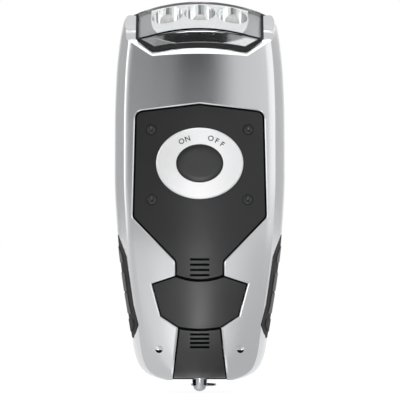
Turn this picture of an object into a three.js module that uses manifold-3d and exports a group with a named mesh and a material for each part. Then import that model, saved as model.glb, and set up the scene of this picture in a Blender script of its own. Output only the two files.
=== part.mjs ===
// Hand crank flashlight: three LEDs under a slanted lens, a push button, and on the back a crank
// that turns a small generator through a step-up gear train.
// Millimetres. +Z points to the light end, -Y to the button side and +Y to the crank side.

import * as THREE from 'three';
import { mergeVertices } from 'three/addons/utils/BufferGeometryUtils.js';
import Module from 'manifold-3d';

const wasm = await Module();
wasm.setup();

// Body
const bodyLength = 128.9;
const bodyWidth = 58;
const frontDepth = 19.5;
const backDepth = 14;
const frontCrown = 3;
const casingWall = 2.4;
const partingGap = 0.3;
const fitGap = 0.3;
const seatGap = 0.15;
const runningGap = 0.12;
const overrun = 12;
const crownReach = 4;

// Head
const crownRadius = 59;
const slantSlope = 0.55;
const facetSlope = 3.3;
const facetY = -18.9;
const facetDrop = 15.2;
const rearSlope = -0.35;
const lensWall = 1.1;
const lensInset = 8.2;
const lensSideDrop = 12.8;
const lensCornerInset = 13.7;
const lensCornerDrop = 15.8;
const lensLowDrop = 14.3;
const gasketSide = 0.9;
const gasketBottom = 1.7;
const gasketRecess = 0.5;
const gasketDepth = 1.7;

// Light unit
const ledPitch = 10.9;
const ledRadius = 2.5;
const ledFlangeRadius = 2.9;
const ledFlangeHeight = 1;
const ledTopDrop = 5.9;
const ledLength = 8.7;
const lightY = -5.6;
const cupRadius = 5;
const cupThroatRadius = 3.2;
const cupThroatDrop = 11.7;
const cupRimDrop = 5.4;
const cupWall = 0.5;
const cupBellyShare = 0.55;
const cupBellyHeightShare = 0.3;
const flangeThickness = 1.2;
const ledBoardThickness = 1.2;
const ledBoardInset = 11;
const ledBoardBackY = -1;
const ledBoardFrontY = -13.5;

// Control panel
const panelRecess = 0.6;
const panelThickness = 1.7;
const panelApexZ = 93.6;
const panelTopZ = 91;
const panelTopInset = 7.4;
const panelLowInset = 6.5;
const panelLowZ = 55.4;
const panelCornerRadius = 2.6;
const panelCornerCut = 0.9;
const panelCornerRise = 0.3;
const neckHalfWidth = 8.1;
const neckTopZ = 40.5;
const neckLowZ = 35.7;
const neckArcZ = 34.1;
const grooveHalfLength = 3.3;
const grooveHeight = 0.8;
const grooveDepth = 0.9;
const grooveCount = 4;
const neckGroovePitch = 1.78;
const neckGrooveTopZ = 41.1;
const pinHeadRadius = 1.65;
const pinHeadDepth = 0.8;
const pinShankRadius = 1;
const pinUpperInset = 5.2;
const pinUpperZ = 85;
const pinLowerInset = 6.3;
const pinLowerZ = 61.3;
const pinBossRadius = 2.4;

// Button and its ring
const buttonZ = 73.6;
const buttonHalfWidth = 7.7;
const buttonHalfHeight = 6.2;
const buttonRecess = 0.2;
const buttonFlange = 1.4;
const buttonFlangeThickness = 0.8;
const buttonStemRadius = 1.5;
const buttonTravel = 0.6;
const ringHalfWidth = 14.8;
const ringHalfHeight = 12.1;
const ringThickness = 0.8;
const ringProud = 0.15;

// Belly shield and tail strip
const shieldRecess = 0.85;
const shieldTopHalfWidth = 16.1;
const shieldTopZ = 32.7;
const shieldWaistHalfWidth = 13.2;
const shieldWaistZ = 22;
const shieldLowHalfWidth = 7.2;
const shieldLowZ = 18.1;
const shieldArcZ = 17.4;
const stripRecess = 0.7;
const stripTopHalfWidth = 7.1;
const stripTailHalfWidth = 9;
const stripGrooveTopZ = 15.7;
const stripGroovePitch = 1.45;
const dimpleX = 14.1;
const dimpleZ = 10.2;
const dimpleRadius = 1.5;
const dimpleDepth = 0.7;
const dimpleSurfaceY = -16.8;

// Side grips
const gripProud = 0.5;
const gripDepth = 1.1;
const gripTopZ = 49.4;
const gripTopInset = 1.2;
const gripShoulderZ = 42.2;
const gripShoulderInset = 4.05;
const gripWaistZ = 25.8;
const gripWaistInset = 6.4;
const gripHeelZ = 18.9;
const gripHeelInset = 8.2;
const gripTipZ = 14.4;
const gripTipInset = 6.6;
const gripBackY = 9;
const gripRibCount = 4;
const gripRibHeight = 0.5;
const gripRibShare = 0.2;

// Crank
const crankZ = 45;
const crankShaftRadius = 2.5;
const crankSquare = 3.6;
const collarRadius = 9.5;
const collarHeight = 1;
const hubRadius = 8.6;
const armGap = 2.5;
const armThickness = 5.6;
const armLength = 54;
const armEndRadius = 7.2;
const slotHalfWidth = 4.7;
const knobRadius = 4.2;
const knobWaistRadius = 3.6;
const knobLength = 26;
const knobStandoff = 3.3;
const knuckleRadius = 2.6;
const hingePinRadius = 1;
const spindleRadius = 1.5;
const spindleHeadRadius = 2.4;
const spindleHeadLength = 1.4;
const hubScrewHeadRadius = 3;
const hubScrewHeadThickness = 1.4;
const hubScrewRadius = 1.1;
const hubScrewLength = 6;

// Gear train
const pressureAngle = 25;
const addendumShare = 0.8;
const dedendumShare = 1.05;
const toothBacklash = 0.14;
const driveModule = 0.9;
const driveTeeth = 36;
const drivenTeeth = 12;
const stepModule = 0.6;
const wheelTeeth = 30;
const pinionTeeth = 10;
const gearOneAngle = -118;
const gearTwoAngle = -55;
const rotorAngle = 10;
const gearThickness = 2;
const gearStep = 3;
const pinionExtra = 0.3;
const axleRadius = 1;
const plateThickness = 0.9;
const plateStandoff = 1.1;
const plateBossRadius = 2.3;
const plateInset = 11.5;
const plateLowZ = 10.5;
const plateTopZ = 62;
const plateChamfer = 5.2;
const pillarRadius = 1.4;
const pillarInset = 2;
const pillarRise = 5.6;

// Generator
const canRadius = 10.5;
const canWall = 0.6;
const canLength = 9;
const coilWall = 2;
const magnetRadius = 7;
const magnetLength = 6;

// Electronics
const boardThickness = 1.6;
const boardFrontY = -11.8;
const boardInset = 9.5;
const boardLowZ = 57.5;
const boardTopZ = 95;
const switchSize = 6.2;
const switchDepth = 3.2;
const plungerRadius = 1.7;
const plungerProud = 0.5;
const plungerSeatDepth = 0.8;
const cellRadius = 7.8;
const cellLength = 6;
const cellDrop = 44.9;
const capacitorRadius = 3.2;
const capacitorLength = 7;
const capacitorX = 12;
const capacitorZ = 66;

// Casing screws
const screwUpperInset = 8.4;
const screwUpperDrop = 27.9;
const screwLowerInset = 11.4;
const screwLowerZ = 8;
const screwBossRadius = 2.8;
const screwHeadRadius = 2.1;
const screwHeadThickness = 1.5;
const screwUpperY = 12.6;
const screwLowerY = 10.3;
const screwRadius = 1.1;
const screwLength = 19;

// Lanyard stud and wire ring
const studRadius = 2.6;
const studStraight = 1.5;
const studFlangeRadius = 4;
const studFlangeThickness = 1.2;
const studHoleRadius = 1.25;
const studHoleDrop = 0.4;
const wireRadius = 0.6;
const wireRingRadius = 4.6;

// Facets: how many straight sides stand in for a round
const roundSides = 32;
const middleSides = 20;
const smallSides = 12;
const wireSides = 6;
const wireSteps = 24;
const arcSteps = 12;
const domeSteps = 4;

// Places worked out from the sizes above
const halfWidth = bodyWidth / 2;
const lensHalfWidth = halfWidth - lensInset;
const lensCornerHalfWidth = halfWidth - lensCornerInset;
const lensSideZ = bodyLength - lensSideDrop;
const lensCornerZ = bodyLength - lensCornerDrop;
const lensLowZ = bodyLength - lensLowDrop;
const ledTopZ = bodyLength - ledTopDrop;
const cupThroatZ = bodyLength - cupThroatDrop;
const cupRimZ = bodyLength - cupRimDrop;
const ledBoardHalfWidth = halfWidth - ledBoardInset;
const panelTopHalfWidth = halfWidth - panelTopInset;
const panelLowHalfWidth = halfWidth - panelLowInset;
const pinUpperX = panelTopHalfWidth - pinUpperInset;
const pinLowerX = panelLowHalfWidth - pinLowerInset;
const plateHalfWidth = halfWidth - plateInset;
const boardHalfWidth = halfWidth - boardInset;
const screwUpperX = halfWidth - screwUpperInset;
const screwUpperZ = bodyLength - screwUpperDrop;
const screwLowerX = halfWidth - screwLowerInset;
const cellZ = bodyLength - cellDrop;
const backInnerY = backDepth - casingWall;
const rearPlateY = backInnerY - plateStandoff - plateThickness;
const driveGearTo = rearPlateY - 2 * fitGap;
const driveGearFrom = driveGearTo - gearThickness;
const wheelOneFrom = driveGearFrom - gearStep;
const wheelTwoFrom = wheelOneFrom - gearStep;
const frontPlateTo = wheelTwoFrom - 2 * fitGap - pinionExtra;
const frontPlateFrom = frontPlateTo - plateThickness;
const canBackY = frontPlateFrom - seatGap;
const canFrontY = canBackY - canLength;
const armY = backDepth + armGap;
const armTopY = armY + armThickness;
const knobAxisY = armY + armThickness / 2;
const hingePinZ = crankZ + armLength;
const studDrop = studStraight + studRadius;
const ringHingeZ = -studStraight - studHoleDrop;

// The sections of the body from tail to crown. Each row has its height as a share of the length,
// and its half width, front depth and back depth as shares of the full ones.
const sectionShares = [
  [0, 0.43, 0.56, 0.57],
  [0.007, 0.54, 0.64, 0.67],
  [0.019, 0.64, 0.74, 0.8],
  [0.038, 0.712, 0.815, 0.88],
  [0.072, 0.767, 0.88, 0.955],
  [0.109, 0.795, 0.913, 0.986],
  [0.18, 0.845, 0.955, 1],
  [0.28, 0.914, 0.982, 1],
  [0.39, 0.967, 0.997, 1],
  [0.54, 1, 1, 1],
  [0.682, 0.998, 1, 1],
  [0.8, 0.98, 0.99, 1],
  [0.88, 0.947, 0.97, 0.985],
  [0.94, 0.9, 0.955, 0.945],
  [0.96, 0.862, 0.95, 0.91],
  [0.973, 0.775, 0.95, 0.88],
  [1.02, 0.75, 0.95, 0.85],
];

// One section: where the creases and the rounded back corners lie, as shares of its half width and
// its depths
const creaseShare = 0.855;
const creaseSideShare = 0.885;
const creaseDepthShare = 0.97;
const frontArcShares = [-1, -0.7, -0.36, 0, 0.36, 0.7, 1];
const sideShares = [[0.965, -0.5], [1, 0], [0.975, 0.45], [0.9, 0.85], [0.8, 1]];

// Solids

function solidOf(geometry) {
  const plain = geometry.clone();
  plain.deleteAttribute('normal');
  plain.deleteAttribute('uv');
  const merged = mergeVertices(plain);
  return new wasm.Manifold(new wasm.Mesh({
    numProp: 3,
    vertProperties: Float32Array.from(merged.attributes.position.array),
    triVerts: Uint32Array.from(merged.index.array),
  }));
}

function geometryOf(solid) {
  const mesh = solid.getMesh();
  const geometry = new THREE.BufferGeometry();
  geometry.setAttribute('position', new THREE.BufferAttribute(Float32Array.from(mesh.vertProperties), 3));
  geometry.setIndex(new THREE.BufferAttribute(Uint32Array.from(mesh.triVerts), 1));
  geometry.computeVertexNormals();
  return geometry;
}

function joined(...solids) {
  return solids.reduce((sum, solid) => sum.add(solid));
}

// A closed skin over a stack of sections with equally many points, each anticlockwise from above
function loft(sections) {
  const count = sections[0].length;
  const positions = sections.flat().flatMap((point) => [point.x, point.y, point.z]);
  const faces = [];
  for (let level = 0; level < sections.length - 1; level++) {
    for (let i = 0; i < count; i++) {
      const a = level * count + i;
      const b = level * count + (i + 1) % count;
      faces.push(a, b, b + count, a, b + count, a + count);
    }
  }
  const flat = sections[0].map((point) => new THREE.Vector2(point.x, point.y));
  const top = (sections.length - 1) * count;
  for (const [a, b, c] of THREE.ShapeUtils.triangulateShape(flat, [])) {
    faces.push(c, b, a);
    faces.push(a + top, b + top, c + top);
  }
  const geometry = new THREE.BufferGeometry();
  geometry.setAttribute('position', new THREE.Float32BufferAttribute(positions, 3));
  geometry.setIndex(faces);
  return geometry;
}

// A profile drawn in X and Z, extruded along Y
function prismY(shape, fromY, toY, steps = arcSteps) {
  const depth = toY - fromY;
  const settings = { depth, bevelEnabled: false, curveSegments: steps };
  const geometry = new THREE.ExtrudeGeometry(shape, settings);
  geometry.rotateX(Math.PI / 2);
  geometry.translate(0, toY, 0);
  return solidOf(geometry);
}

function cylinderY(x, z, radius, fromY, toY, sides = smallSides) {
  const geometry = new THREE.CylinderGeometry(radius, radius, toY - fromY, sides);
  geometry.translate(x, (fromY + toY) / 2, z);
  return solidOf(geometry);
}

function cylinderX(y, z, radius, fromX, toX, sides = smallSides) {
  const geometry = new THREE.CylinderGeometry(radius, radius, toX - fromX, sides);
  geometry.rotateZ(Math.PI / 2);
  geometry.translate((fromX + toX) / 2, y, z);
  return solidOf(geometry);
}

function cylinderZ(x, y, radius, fromZ, toZ, sides = smallSides) {
  const geometry = new THREE.CylinderGeometry(radius, radius, toZ - fromZ, sides);
  geometry.rotateX(Math.PI / 2);
  geometry.translate(x, y, (fromZ + toZ) / 2);
  return solidOf(geometry);
}

function block(fromX, toX, fromY, toY, fromZ, toZ) {
  const geometry = new THREE.BoxGeometry(toX - fromX, toY - fromY, toZ - fromZ);
  geometry.translate((fromX + toX) / 2, (fromY + toY) / 2, (fromZ + toZ) / 2);
  return solidOf(geometry);
}

// A turned shape about an axis along Z: the profile is a list of radius and height
function turnedZ(profile, x, y, sides = roundSides) {
  const points = profile.map(([radius, height]) => new THREE.Vector2(radius, height));
  const geometry = new THREE.LatheGeometry(points, sides);
  geometry.rotateX(Math.PI / 2);
  geometry.translate(x, y, 0);
  return solidOf(geometry);
}

// Outlines, drawn in X and Z

function outline(points) {
  return new THREE.Shape(points.map(([x, z]) => new THREE.Vector2(x, z)));
}

function ellipse(x, z, halfX, halfZ) {
  const shape = new THREE.Shape();
  shape.absellipse(x, z, halfX, halfZ, 0, 2 * Math.PI, false, 0);
  return shape;
}

// Points of a shallow arc from one end to the other that peaks by rise in the middle
function arcPoints(fromX, toX, endZ, rise, steps = arcSteps) {
  const points = [];
  for (let i = 1; i < steps; i++) {
    const share = 2 * i / steps - 1;
    points.push([fromX + (toX - fromX) * i / steps, endZ + rise * (1 - share * share)]);
  }
  return points;
}

// The same closed outline, moved outwards by a distance at every edge
function grown(points, distance) {
  const area = THREE.ShapeUtils.area(points.map(([x, z]) => new THREE.Vector2(x, z)));
  const side = Math.sign(area) * distance;
  return points.map(([x, z], i) => {
    const [beforeX, beforeZ] = points.at(i - 1);
    const [afterX, afterZ] = points[(i + 1) % points.length];
    const before = new THREE.Vector2(x - beforeX, z - beforeZ).normalize();
    const after = new THREE.Vector2(afterX - x, afterZ - z).normalize();
    const mitre = new THREE.Vector2(before.y + after.y, -before.x - after.x).normalize();
    const reach = side / (mitre.x * before.y - mitre.y * before.x);
    return [x + mitre.x * reach, z + mitre.y * reach];
  });
}

// The body's form

function sectionPoints(width, front, back, z) {
  const creaseY = -(front - frontCrown * front / frontDepth);
  const frontArc = frontArcShares.map((share) => {
    const y = -front + (front + creaseY) * share * share;
    return new THREE.Vector3(share * creaseShare * width, y, z);
  });
  const right = sideShares.map(([across, along]) => {
    const y = along < 0 ? -along * creaseY : along * back;
    return new THREE.Vector3(across * width, y, z);
  });
  const crease = new THREE.Vector3(creaseSideShare * width, creaseY * creaseDepthShare, z);
  const rightSide = [crease, ...right];
  const leftSide = rightSide.map((point) => new THREE.Vector3(-point.x, point.y, point.z)).reverse();
  return [...frontArc, ...rightSide, ...leftSide];
}

function bodyLoft(inset) {
  return loft(sectionShares.map(([height, width, front, back]) => sectionPoints(
    width * halfWidth - inset,
    front * frontDepth - inset,
    back * backDepth - inset,
    inset + height * (bodyLength - inset),
  )));
}

// Everything below a face that is arched across X and slopes along Y
function belowFace(slope, anchorY, anchorZ, inset) {
  const reach = halfWidth + crownReach;
  const drop = crownRadius - Math.sqrt(crownRadius ** 2 - reach ** 2);
  const topZ = anchorZ - inset * Math.hypot(1, slope);
  const points = [[-reach, -bodyLength], [reach, -bodyLength], [reach, topZ - drop]];
  for (let i = 1; i < arcSteps; i++) {
    const x = reach - 2 * reach * i / arcSteps;
    points.push([x, topZ - crownRadius + Math.sqrt(crownRadius ** 2 - x ** 2)]);
  }
  points.push([-reach, topZ - drop]);
  const depth = 2 * (frontDepth + backDepth);
  const geometry = new THREE.ExtrudeGeometry(outline(points), { depth, bevelEnabled: false });
  geometry.rotateX(Math.PI / 2);
  geometry.translate(0, depth / 2 - anchorY, 0);
  geometry.applyMatrix4(new THREE.Matrix4().makeShear(0, 0, 0, slope, 0, 0));
  geometry.translate(0, anchorY, 0);
  return solidOf(geometry);
}

// The body's full form, or one that lies inside it by an even inset
const formCache = new Map();
function bodyForm(inset) {
  if (!formCache.has(inset)) {
    const form = solidOf(bodyLoft(inset))
      .intersect(belowFace(slantSlope, 0, bodyLength, inset))
      .intersect(belowFace(facetSlope, facetY, bodyLength - facetDrop, inset))
      .intersect(belowFace(rearSlope, 0, bodyLength, inset));
    formCache.set(inset, form);
  }
  return formCache.get(inset);
}

// A skin of the body from one inset to another, over an outline drawn in X and Z
function skinOver(shape, fromInset, toInset, fromY, toY) {
  return prismY(shape, fromY, toY).intersect(bodyForm(fromInset)).subtract(bodyForm(toInset));
}

const farFront = -frontDepth - overrun;
const farBack = backDepth + overrun;

// Outlines of what the front opens for

function lensPoints() {
  const top = bodyLength + overrun;
  return [
    [-lensHalfWidth, top],
    [-lensHalfWidth, lensSideZ],
    [-lensCornerHalfWidth, lensCornerZ],
    ...arcPoints(-lensCornerHalfWidth, lensCornerHalfWidth, lensCornerZ, lensLowZ - lensCornerZ),
    [lensCornerHalfWidth, lensCornerZ],
    [lensHalfWidth, lensSideZ],
    [lensHalfWidth, top],
  ];
}

function gasketPoints() {
  const side = lensHalfWidth + gasketSide;
  const top = bodyLength + overrun;
  const cornerZ = lensCornerZ - gasketBottom;
  const cornerX = lensCornerHalfWidth + gasketSide / 2;
  return [
    [-side, top],
    [-side, lensSideZ - gasketSide / 2],
    [-cornerX, cornerZ],
    ...arcPoints(-cornerX, cornerX, cornerZ, lensLowZ - lensCornerZ),
    [cornerX, cornerZ],
    [side, lensSideZ - gasketSide / 2],
    [side, top],
  ];
}

function panelPoints() {
  const right = [
    [0, panelApexZ],
    [panelTopHalfWidth - panelCornerRadius, panelTopZ + panelCornerRise],
    [panelTopHalfWidth - panelCornerCut, panelTopZ - panelCornerCut],
    [panelTopHalfWidth, panelTopZ - panelCornerRadius],
    [panelLowHalfWidth, panelLowZ],
    [neckHalfWidth, neckTopZ],
    [neckHalfWidth, neckLowZ],
  ];
  const arc = arcPoints(neckHalfWidth, -neckHalfWidth, neckLowZ, neckArcZ - neckLowZ);
  const left = right.slice(1).map(([x, z]) => [-x, z]).reverse();
  return [...right, ...arc, ...left];
}

function shieldPoints() {
  const right = [
    [neckHalfWidth, neckLowZ - fitGap],
    [shieldTopHalfWidth, shieldTopZ],
    [shieldWaistHalfWidth, shieldWaistZ],
    [shieldLowHalfWidth, shieldLowZ],
  ];
  const low = arcPoints(shieldLowHalfWidth, -shieldLowHalfWidth, shieldLowZ, shieldArcZ - shieldLowZ);
  const left = right.map(([x, z]) => [-x, z]).reverse();
  const top = arcPoints(-neckHalfWidth, neckHalfWidth, neckLowZ - fitGap, neckArcZ - neckLowZ);
  return [...right, ...low, ...left, ...top];
}

function stripPoints() {
  const topZ = shieldLowZ - fitGap;
  const top = arcPoints(-stripTopHalfWidth, stripTopHalfWidth, topZ, shieldArcZ - shieldLowZ);
  return [
    [stripTopHalfWidth, topZ],
    [stripTailHalfWidth, 0],
    [stripTailHalfWidth, -overrun],
    [-stripTailHalfWidth, -overrun],
    [-stripTailHalfWidth, 0],
    [-stripTopHalfWidth, topZ],
    ...top,
  ];
}

// The opening in the front shell is one outline round panel, shield and strip
function frontOpening() {
  const panel = prismY(outline(grown(panelPoints(), fitGap)), farFront, 0);
  const shield = prismY(outline(grown(shieldPoints(), fitGap)), farFront, 0);
  const strip = prismY(outline(grown(stripPoints(), fitGap)), farFront, -partingGap);
  return joined(panel, shield, strip);
}

function gripPoints(side) {
  const outer = halfWidth + overrun;
  return [
    [side * outer, gripTopZ],
    [side * (halfWidth - gripTopInset), gripTopZ],
    [side * (halfWidth - gripShoulderInset), gripShoulderZ],
    [side * (halfWidth - gripWaistInset), gripWaistZ],
    [side * (halfWidth - gripHeelInset), gripHeelZ],
    [side * (halfWidth - gripTipInset), gripTipZ],
    [side * outer, gripTipZ],
  ];
}

// The pocket that a grip lies in
function gripPocket(side) {
  const shape = outline(grown(gripPoints(side), seatGap));
  return prismY(shape, farFront, gripBackY + seatGap).subtract(bodyForm(gripDepth + seatGap));
}

function screwPlaces() {
  return [
    [-screwUpperX, screwUpperZ, screwUpperY],
    [screwUpperX, screwUpperZ, screwUpperY],
    [-screwLowerX, screwLowerZ, screwLowerY],
    [screwLowerX, screwLowerZ, screwLowerY],
  ];
}

// Lanyard stud, used by the shells that hold it
function studPocket() {
  const flangePocketTopZ = casingWall + studFlangeThickness + 2 * seatGap;
  return joined(
    cylinderZ(0, 0, studRadius + seatGap, -overrun, casingWall + studFlangeThickness, roundSides),
    cylinderZ(0, 0, studFlangeRadius + seatGap, casingWall, flangePocketTopZ),
  );
}

// Casing shells

function shell() {
  return bodyForm(0).subtract(bodyForm(casingWall));
}

function frontCasing() {
  const half = block(-bodyWidth, bodyWidth, farFront, 0, -overrun, bodyLength + overrun);
  let casing = shell();
  for (const [x, z] of screwPlaces()) {
    const boss = cylinderY(x, z, screwBossRadius, farFront, 0);
    casing = casing.add(boss.intersect(bodyForm(casingWall / 2)));
  }
  casing = casing.intersect(half);
  for (const [x, z, headY] of screwPlaces()) {
    const boreEnd = headY - screwLength - fitGap;
    casing = casing.subtract(cylinderY(x, z, screwRadius + runningGap, boreEnd, overrun));
  }
  for (const side of [-1, 1]) {
    casing = casing.subtract(gripPocket(side)).subtract(dimple(side));
  }
  return casing
    .subtract(prismY(outline(gasketPoints()), farFront, 0))
    .subtract(frontOpening())
    .subtract(studPocket());
}

// A shallow round dent beside the tail strip
function dimple(side) {
  const geometry = new THREE.SphereGeometry(dimpleRadius, smallSides, smallSides / 2);
  geometry.translate(side * dimpleX, dimpleSurfaceY - dimpleDepth, dimpleZ);
  return solidOf(geometry);
}

function rearCasing() {
  const half = block(-bodyWidth, bodyWidth, partingGap, farBack, -overrun, bodyLength + overrun);
  let casing = shell();
  for (const [x, z] of screwPlaces()) {
    const boss = cylinderY(x, z, screwBossRadius, partingGap, farBack);
    casing = casing.add(boss.intersect(bodyForm(casingWall / 2)));
  }
  for (const [x, z] of pillarPlaces()) {
    const fromY = rearPlateY + plateThickness + seatGap;
    const boss = cylinderY(x, z, plateBossRadius, fromY, farBack);
    casing = casing.add(boss.intersect(bodyForm(casingWall / 2)));
  }
  const collar = cylinderY(0, crankZ, collarRadius, backInnerY, backDepth + collarHeight, roundSides);
  casing = casing.intersect(half).add(collar);
  for (const [x, z, headY] of screwPlaces()) {
    casing = casing
      .subtract(cylinderY(x, z, screwRadius + fitGap, -overrun, farBack))
      .subtract(cylinderY(x, z, screwHeadRadius + fitGap, headY - screwHeadThickness - seatGap, farBack));
  }
  for (const side of [-1, 1]) {
    casing = casing.subtract(gripPocket(side));
  }
  return casing
    .subtract(cylinderY(0, crankZ, crankShaftRadius + runningGap, -overrun, farBack, roundSides))
    .subtract(studPocket());
}

function sideGrip(side) {
  const ribs = [];
  const pitch = (gripShoulderZ - gripHeelZ) / gripRibCount;
  for (let i = 0; i < gripRibCount; i++) {
    const middle = gripHeelZ + pitch * (i + 1 / 2);
    const reach = pitch * gripRibShare;
    ribs.push(block(-bodyWidth, bodyWidth, farFront, farBack, middle - reach, middle + reach));
  }
  const shape = outline(gripPoints(side));
  const plain = skinOver(shape, -gripProud + gripRibHeight, gripDepth, farFront, gripBackY);
  const raised = skinOver(shape, -gripProud, gripDepth, farFront, gripBackY - gripProud);
  return plain.add(raised.intersect(joined(...ribs)));
}

// Control panel and what it carries

function grooves(topZ, pitch, recess) {
  const cuts = [];
  for (let i = 0; i < grooveCount; i++) {
    const z = topZ - i * pitch;
    const reach = grooveHeight / 2;
    cuts.push(block(-grooveHalfLength, grooveHalfLength, farFront, 0, z - reach, z + reach));
  }
  return joined(...cuts).subtract(bodyForm(recess + grooveDepth));
}

function pinPlaces() {
  return [
    [-pinUpperX, pinUpperZ],
    [pinUpperX, pinUpperZ],
    [-pinLowerX, pinLowerZ],
    [pinLowerX, pinLowerZ],
  ];
}

function controlPanel() {
  const floor = panelRecess + panelThickness;
  let panel = skinOver(outline(panelPoints()), panelRecess, floor, farFront, 0);
  for (const [x, z] of pinPlaces()) {
    const boss = cylinderY(x, z, pinBossRadius, farFront, boardFrontY - seatGap);
    panel = panel.add(boss.intersect(bodyForm(panelRecess + panelThickness / 2)));
  }
  for (const [x, z] of pinPlaces()) {
    const seat = cylinderY(x, z, pinHeadRadius + seatGap, farFront, 0);
    panel = panel
      .subtract(cylinderY(x, z, pinShankRadius + runningGap, farFront, 0))
      .subtract(seat.subtract(bodyForm(panelRecess + pinHeadDepth + seatGap)));
  }
  const seatShape = ellipse(0, buttonZ, ringHalfWidth + seatGap, ringHalfHeight + seatGap);
  const ringSeat = prismY(seatShape, farFront, 0, 2 * arcSteps);
  const buttonHole = ellipse(0, buttonZ, buttonHalfWidth + fitGap, buttonHalfHeight + fitGap);
  return panel
    .subtract(ringSeat.subtract(bodyForm(panelRecess + ringThickness + seatGap)))
    .subtract(prismY(buttonHole, farFront, 0))
    .subtract(grooves(neckGrooveTopZ, neckGroovePitch, panelRecess));
}

function panelPin([x, z]) {
  const head = cylinderY(x, z, pinHeadRadius, farFront, 0)
    .intersect(bodyForm(panelRecess + fitGap / 2))
    .subtract(bodyForm(panelRecess + pinHeadDepth));
  const shank = cylinderY(x, z, pinShankRadius, farFront, boardFrontY + boardThickness)
    .intersect(bodyForm(panelRecess + pinHeadDepth / 2));
  return head.add(shank);
}

function buttonRing() {
  const shape = ellipse(0, buttonZ, ringHalfWidth, ringHalfHeight);
  const hole = ellipse(0, buttonZ, buttonHalfWidth + fitGap, buttonHalfHeight + fitGap);
  const band = prismY(shape, farFront, 0, 2 * arcSteps).subtract(prismY(hole, farFront, 0));
  return band
    .intersect(bodyForm(panelRecess - ringProud))
    .subtract(bodyForm(panelRecess + ringThickness));
}

// The rubber button has a flange behind the panel and a short stem over the switch
const buttonFlangeY = -frontDepth + panelRecess + panelThickness + fitGap;
function powerButton() {
  const backY = buttonFlangeY + buttonFlangeThickness;
  const cap = prismY(ellipse(0, buttonZ, buttonHalfWidth, buttonHalfHeight), farFront, backY);
  const flangeHalfWidth = buttonHalfWidth + buttonFlange;
  const flangeShape = ellipse(0, buttonZ, flangeHalfWidth, buttonHalfHeight + buttonFlange);
  const flange = prismY(flangeShape, farFront, backY)
    .intersect(bodyForm(panelRecess + panelThickness + fitGap));
  const stem = cylinderY(0, buttonZ, buttonStemRadius, buttonFlangeY, plungerTipY - seatGap);
  return joined(cap.intersect(bodyForm(panelRecess + buttonRecess)), flange, stem);
}

const switchFrontY = boardFrontY - seatGap - switchDepth;
const plungerTipY = switchFrontY - plungerProud;
function switchBody() {
  const half = switchSize / 2;
  const seatY = boardFrontY - plungerSeatDepth;
  const bore = cylinderY(0, buttonZ, plungerRadius + runningGap, switchFrontY - overrun, seatY);
  return block(-half, half, switchFrontY, boardFrontY - seatGap, buttonZ - half, buttonZ + half)
    .subtract(bore);
}

function switchPlunger() {
  const backY = boardFrontY - plungerSeatDepth - buttonTravel - fitGap;
  return cylinderY(0, buttonZ, plungerRadius, plungerTipY, backY);
}

function circuitBoard() {
  const boardBackY = boardFrontY + boardThickness;
  let board = block(-boardHalfWidth, boardHalfWidth, boardFrontY, boardBackY, boardLowZ, boardTopZ);
  for (const [x, z] of pinPlaces()) {
    board = board.subtract(cylinderY(x, z, pinShankRadius + runningGap, farFront, 0));
  }
  return board;
}

function bellyShield() {
  return skinOver(outline(shieldPoints()), shieldRecess, shieldRecess + panelThickness, farFront, 0);
}

function tailStrip() {
  const floor = stripRecess + panelThickness;
  return skinOver(outline(stripPoints()), stripRecess, floor, farFront, -partingGap)
    .subtract(grooves(stripGrooveTopZ, stripGroovePitch, stripRecess))
    .subtract(studPocket());
}

// Head

function lens() {
  return skinOver(outline(lensPoints()), 0, lensWall, farFront, 0);
}

function lensGasket() {
  const ring = prismY(outline(grown(gasketPoints(), -seatGap)), farFront, 0)
    .subtract(prismY(outline(grown(lensPoints(), seatGap)), farFront - overrun, overrun));
  return ring.intersect(bodyForm(gasketRecess)).subtract(bodyForm(gasketRecess + gasketDepth));
}

function ledPlaces() {
  return [-ledPitch, 0, ledPitch];
}

const reflectorInset = lensWall + seatGap;
const ledBaseZ = ledTopZ - ledLength;
const ledBoardTopZ = ledBaseZ - seatGap;

// Three cups and the slanted flange that fills the lens window are one metallised moulding
function reflector() {
  const flangeShape = outline(grown(lensPoints(), -seatGap));
  const flange = skinOver(flangeShape, reflectorInset, reflectorInset + flangeThickness, farFront, 0);
  const outer = joined(...ledPlaces().map((x) => (
    cylinderZ(x, lightY, cupRadius + cupWall, ledBoardTopZ + seatGap, bodyLength, middleSides)
  )));
  const bellyRadius = cupThroatRadius + (cupRadius - cupThroatRadius) * cupBellyShare;
  const bellyZ = cupThroatZ + (cupRimZ - cupThroatZ) * cupBellyHeightShare;
  const cup = [
    [0, ledBoardTopZ - overrun],
    [cupThroatRadius, ledBoardTopZ - overrun],
    [cupThroatRadius, cupThroatZ],
    [bellyRadius, bellyZ],
    [cupRadius, cupRimZ],
    [cupRadius, bodyLength + overrun],
    [0, bodyLength + overrun],
  ];
  const cups = joined(...ledPlaces().map((x) => turnedZ(cup, x, lightY, middleSides)));
  const limit = block(-halfWidth, halfWidth, farFront, -seatGap, 0, bodyLength + overrun);
  return outer.intersect(bodyForm(reflectorInset)).add(flange).intersect(limit).subtract(cups);
}

function led() {
  const shoulderZ = ledTopZ - ledRadius;
  const profile = [
    [0, ledBaseZ],
    [ledFlangeRadius, ledBaseZ],
    [ledFlangeRadius, ledBaseZ + ledFlangeHeight],
    [ledRadius, ledBaseZ + ledFlangeHeight],
    [ledRadius, shoulderZ],
  ];
  for (let i = 1; i < domeSteps; i++) {
    const turn = i / domeSteps * Math.PI / 2;
    profile.push([ledRadius * Math.cos(turn), shoulderZ + ledRadius * Math.sin(turn)]);
  }
  profile.push([0, ledTopZ]);
  return turnedZ(profile, 0, 0, smallSides);
}

function ledBoard() {
  const low = ledBoardTopZ - ledBoardThickness;
  return block(-ledBoardHalfWidth, ledBoardHalfWidth, ledBoardFrontY, ledBoardBackY, low, ledBoardTopZ)
    .intersect(bodyForm(casingWall + seatGap));
}

// Gears

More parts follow.
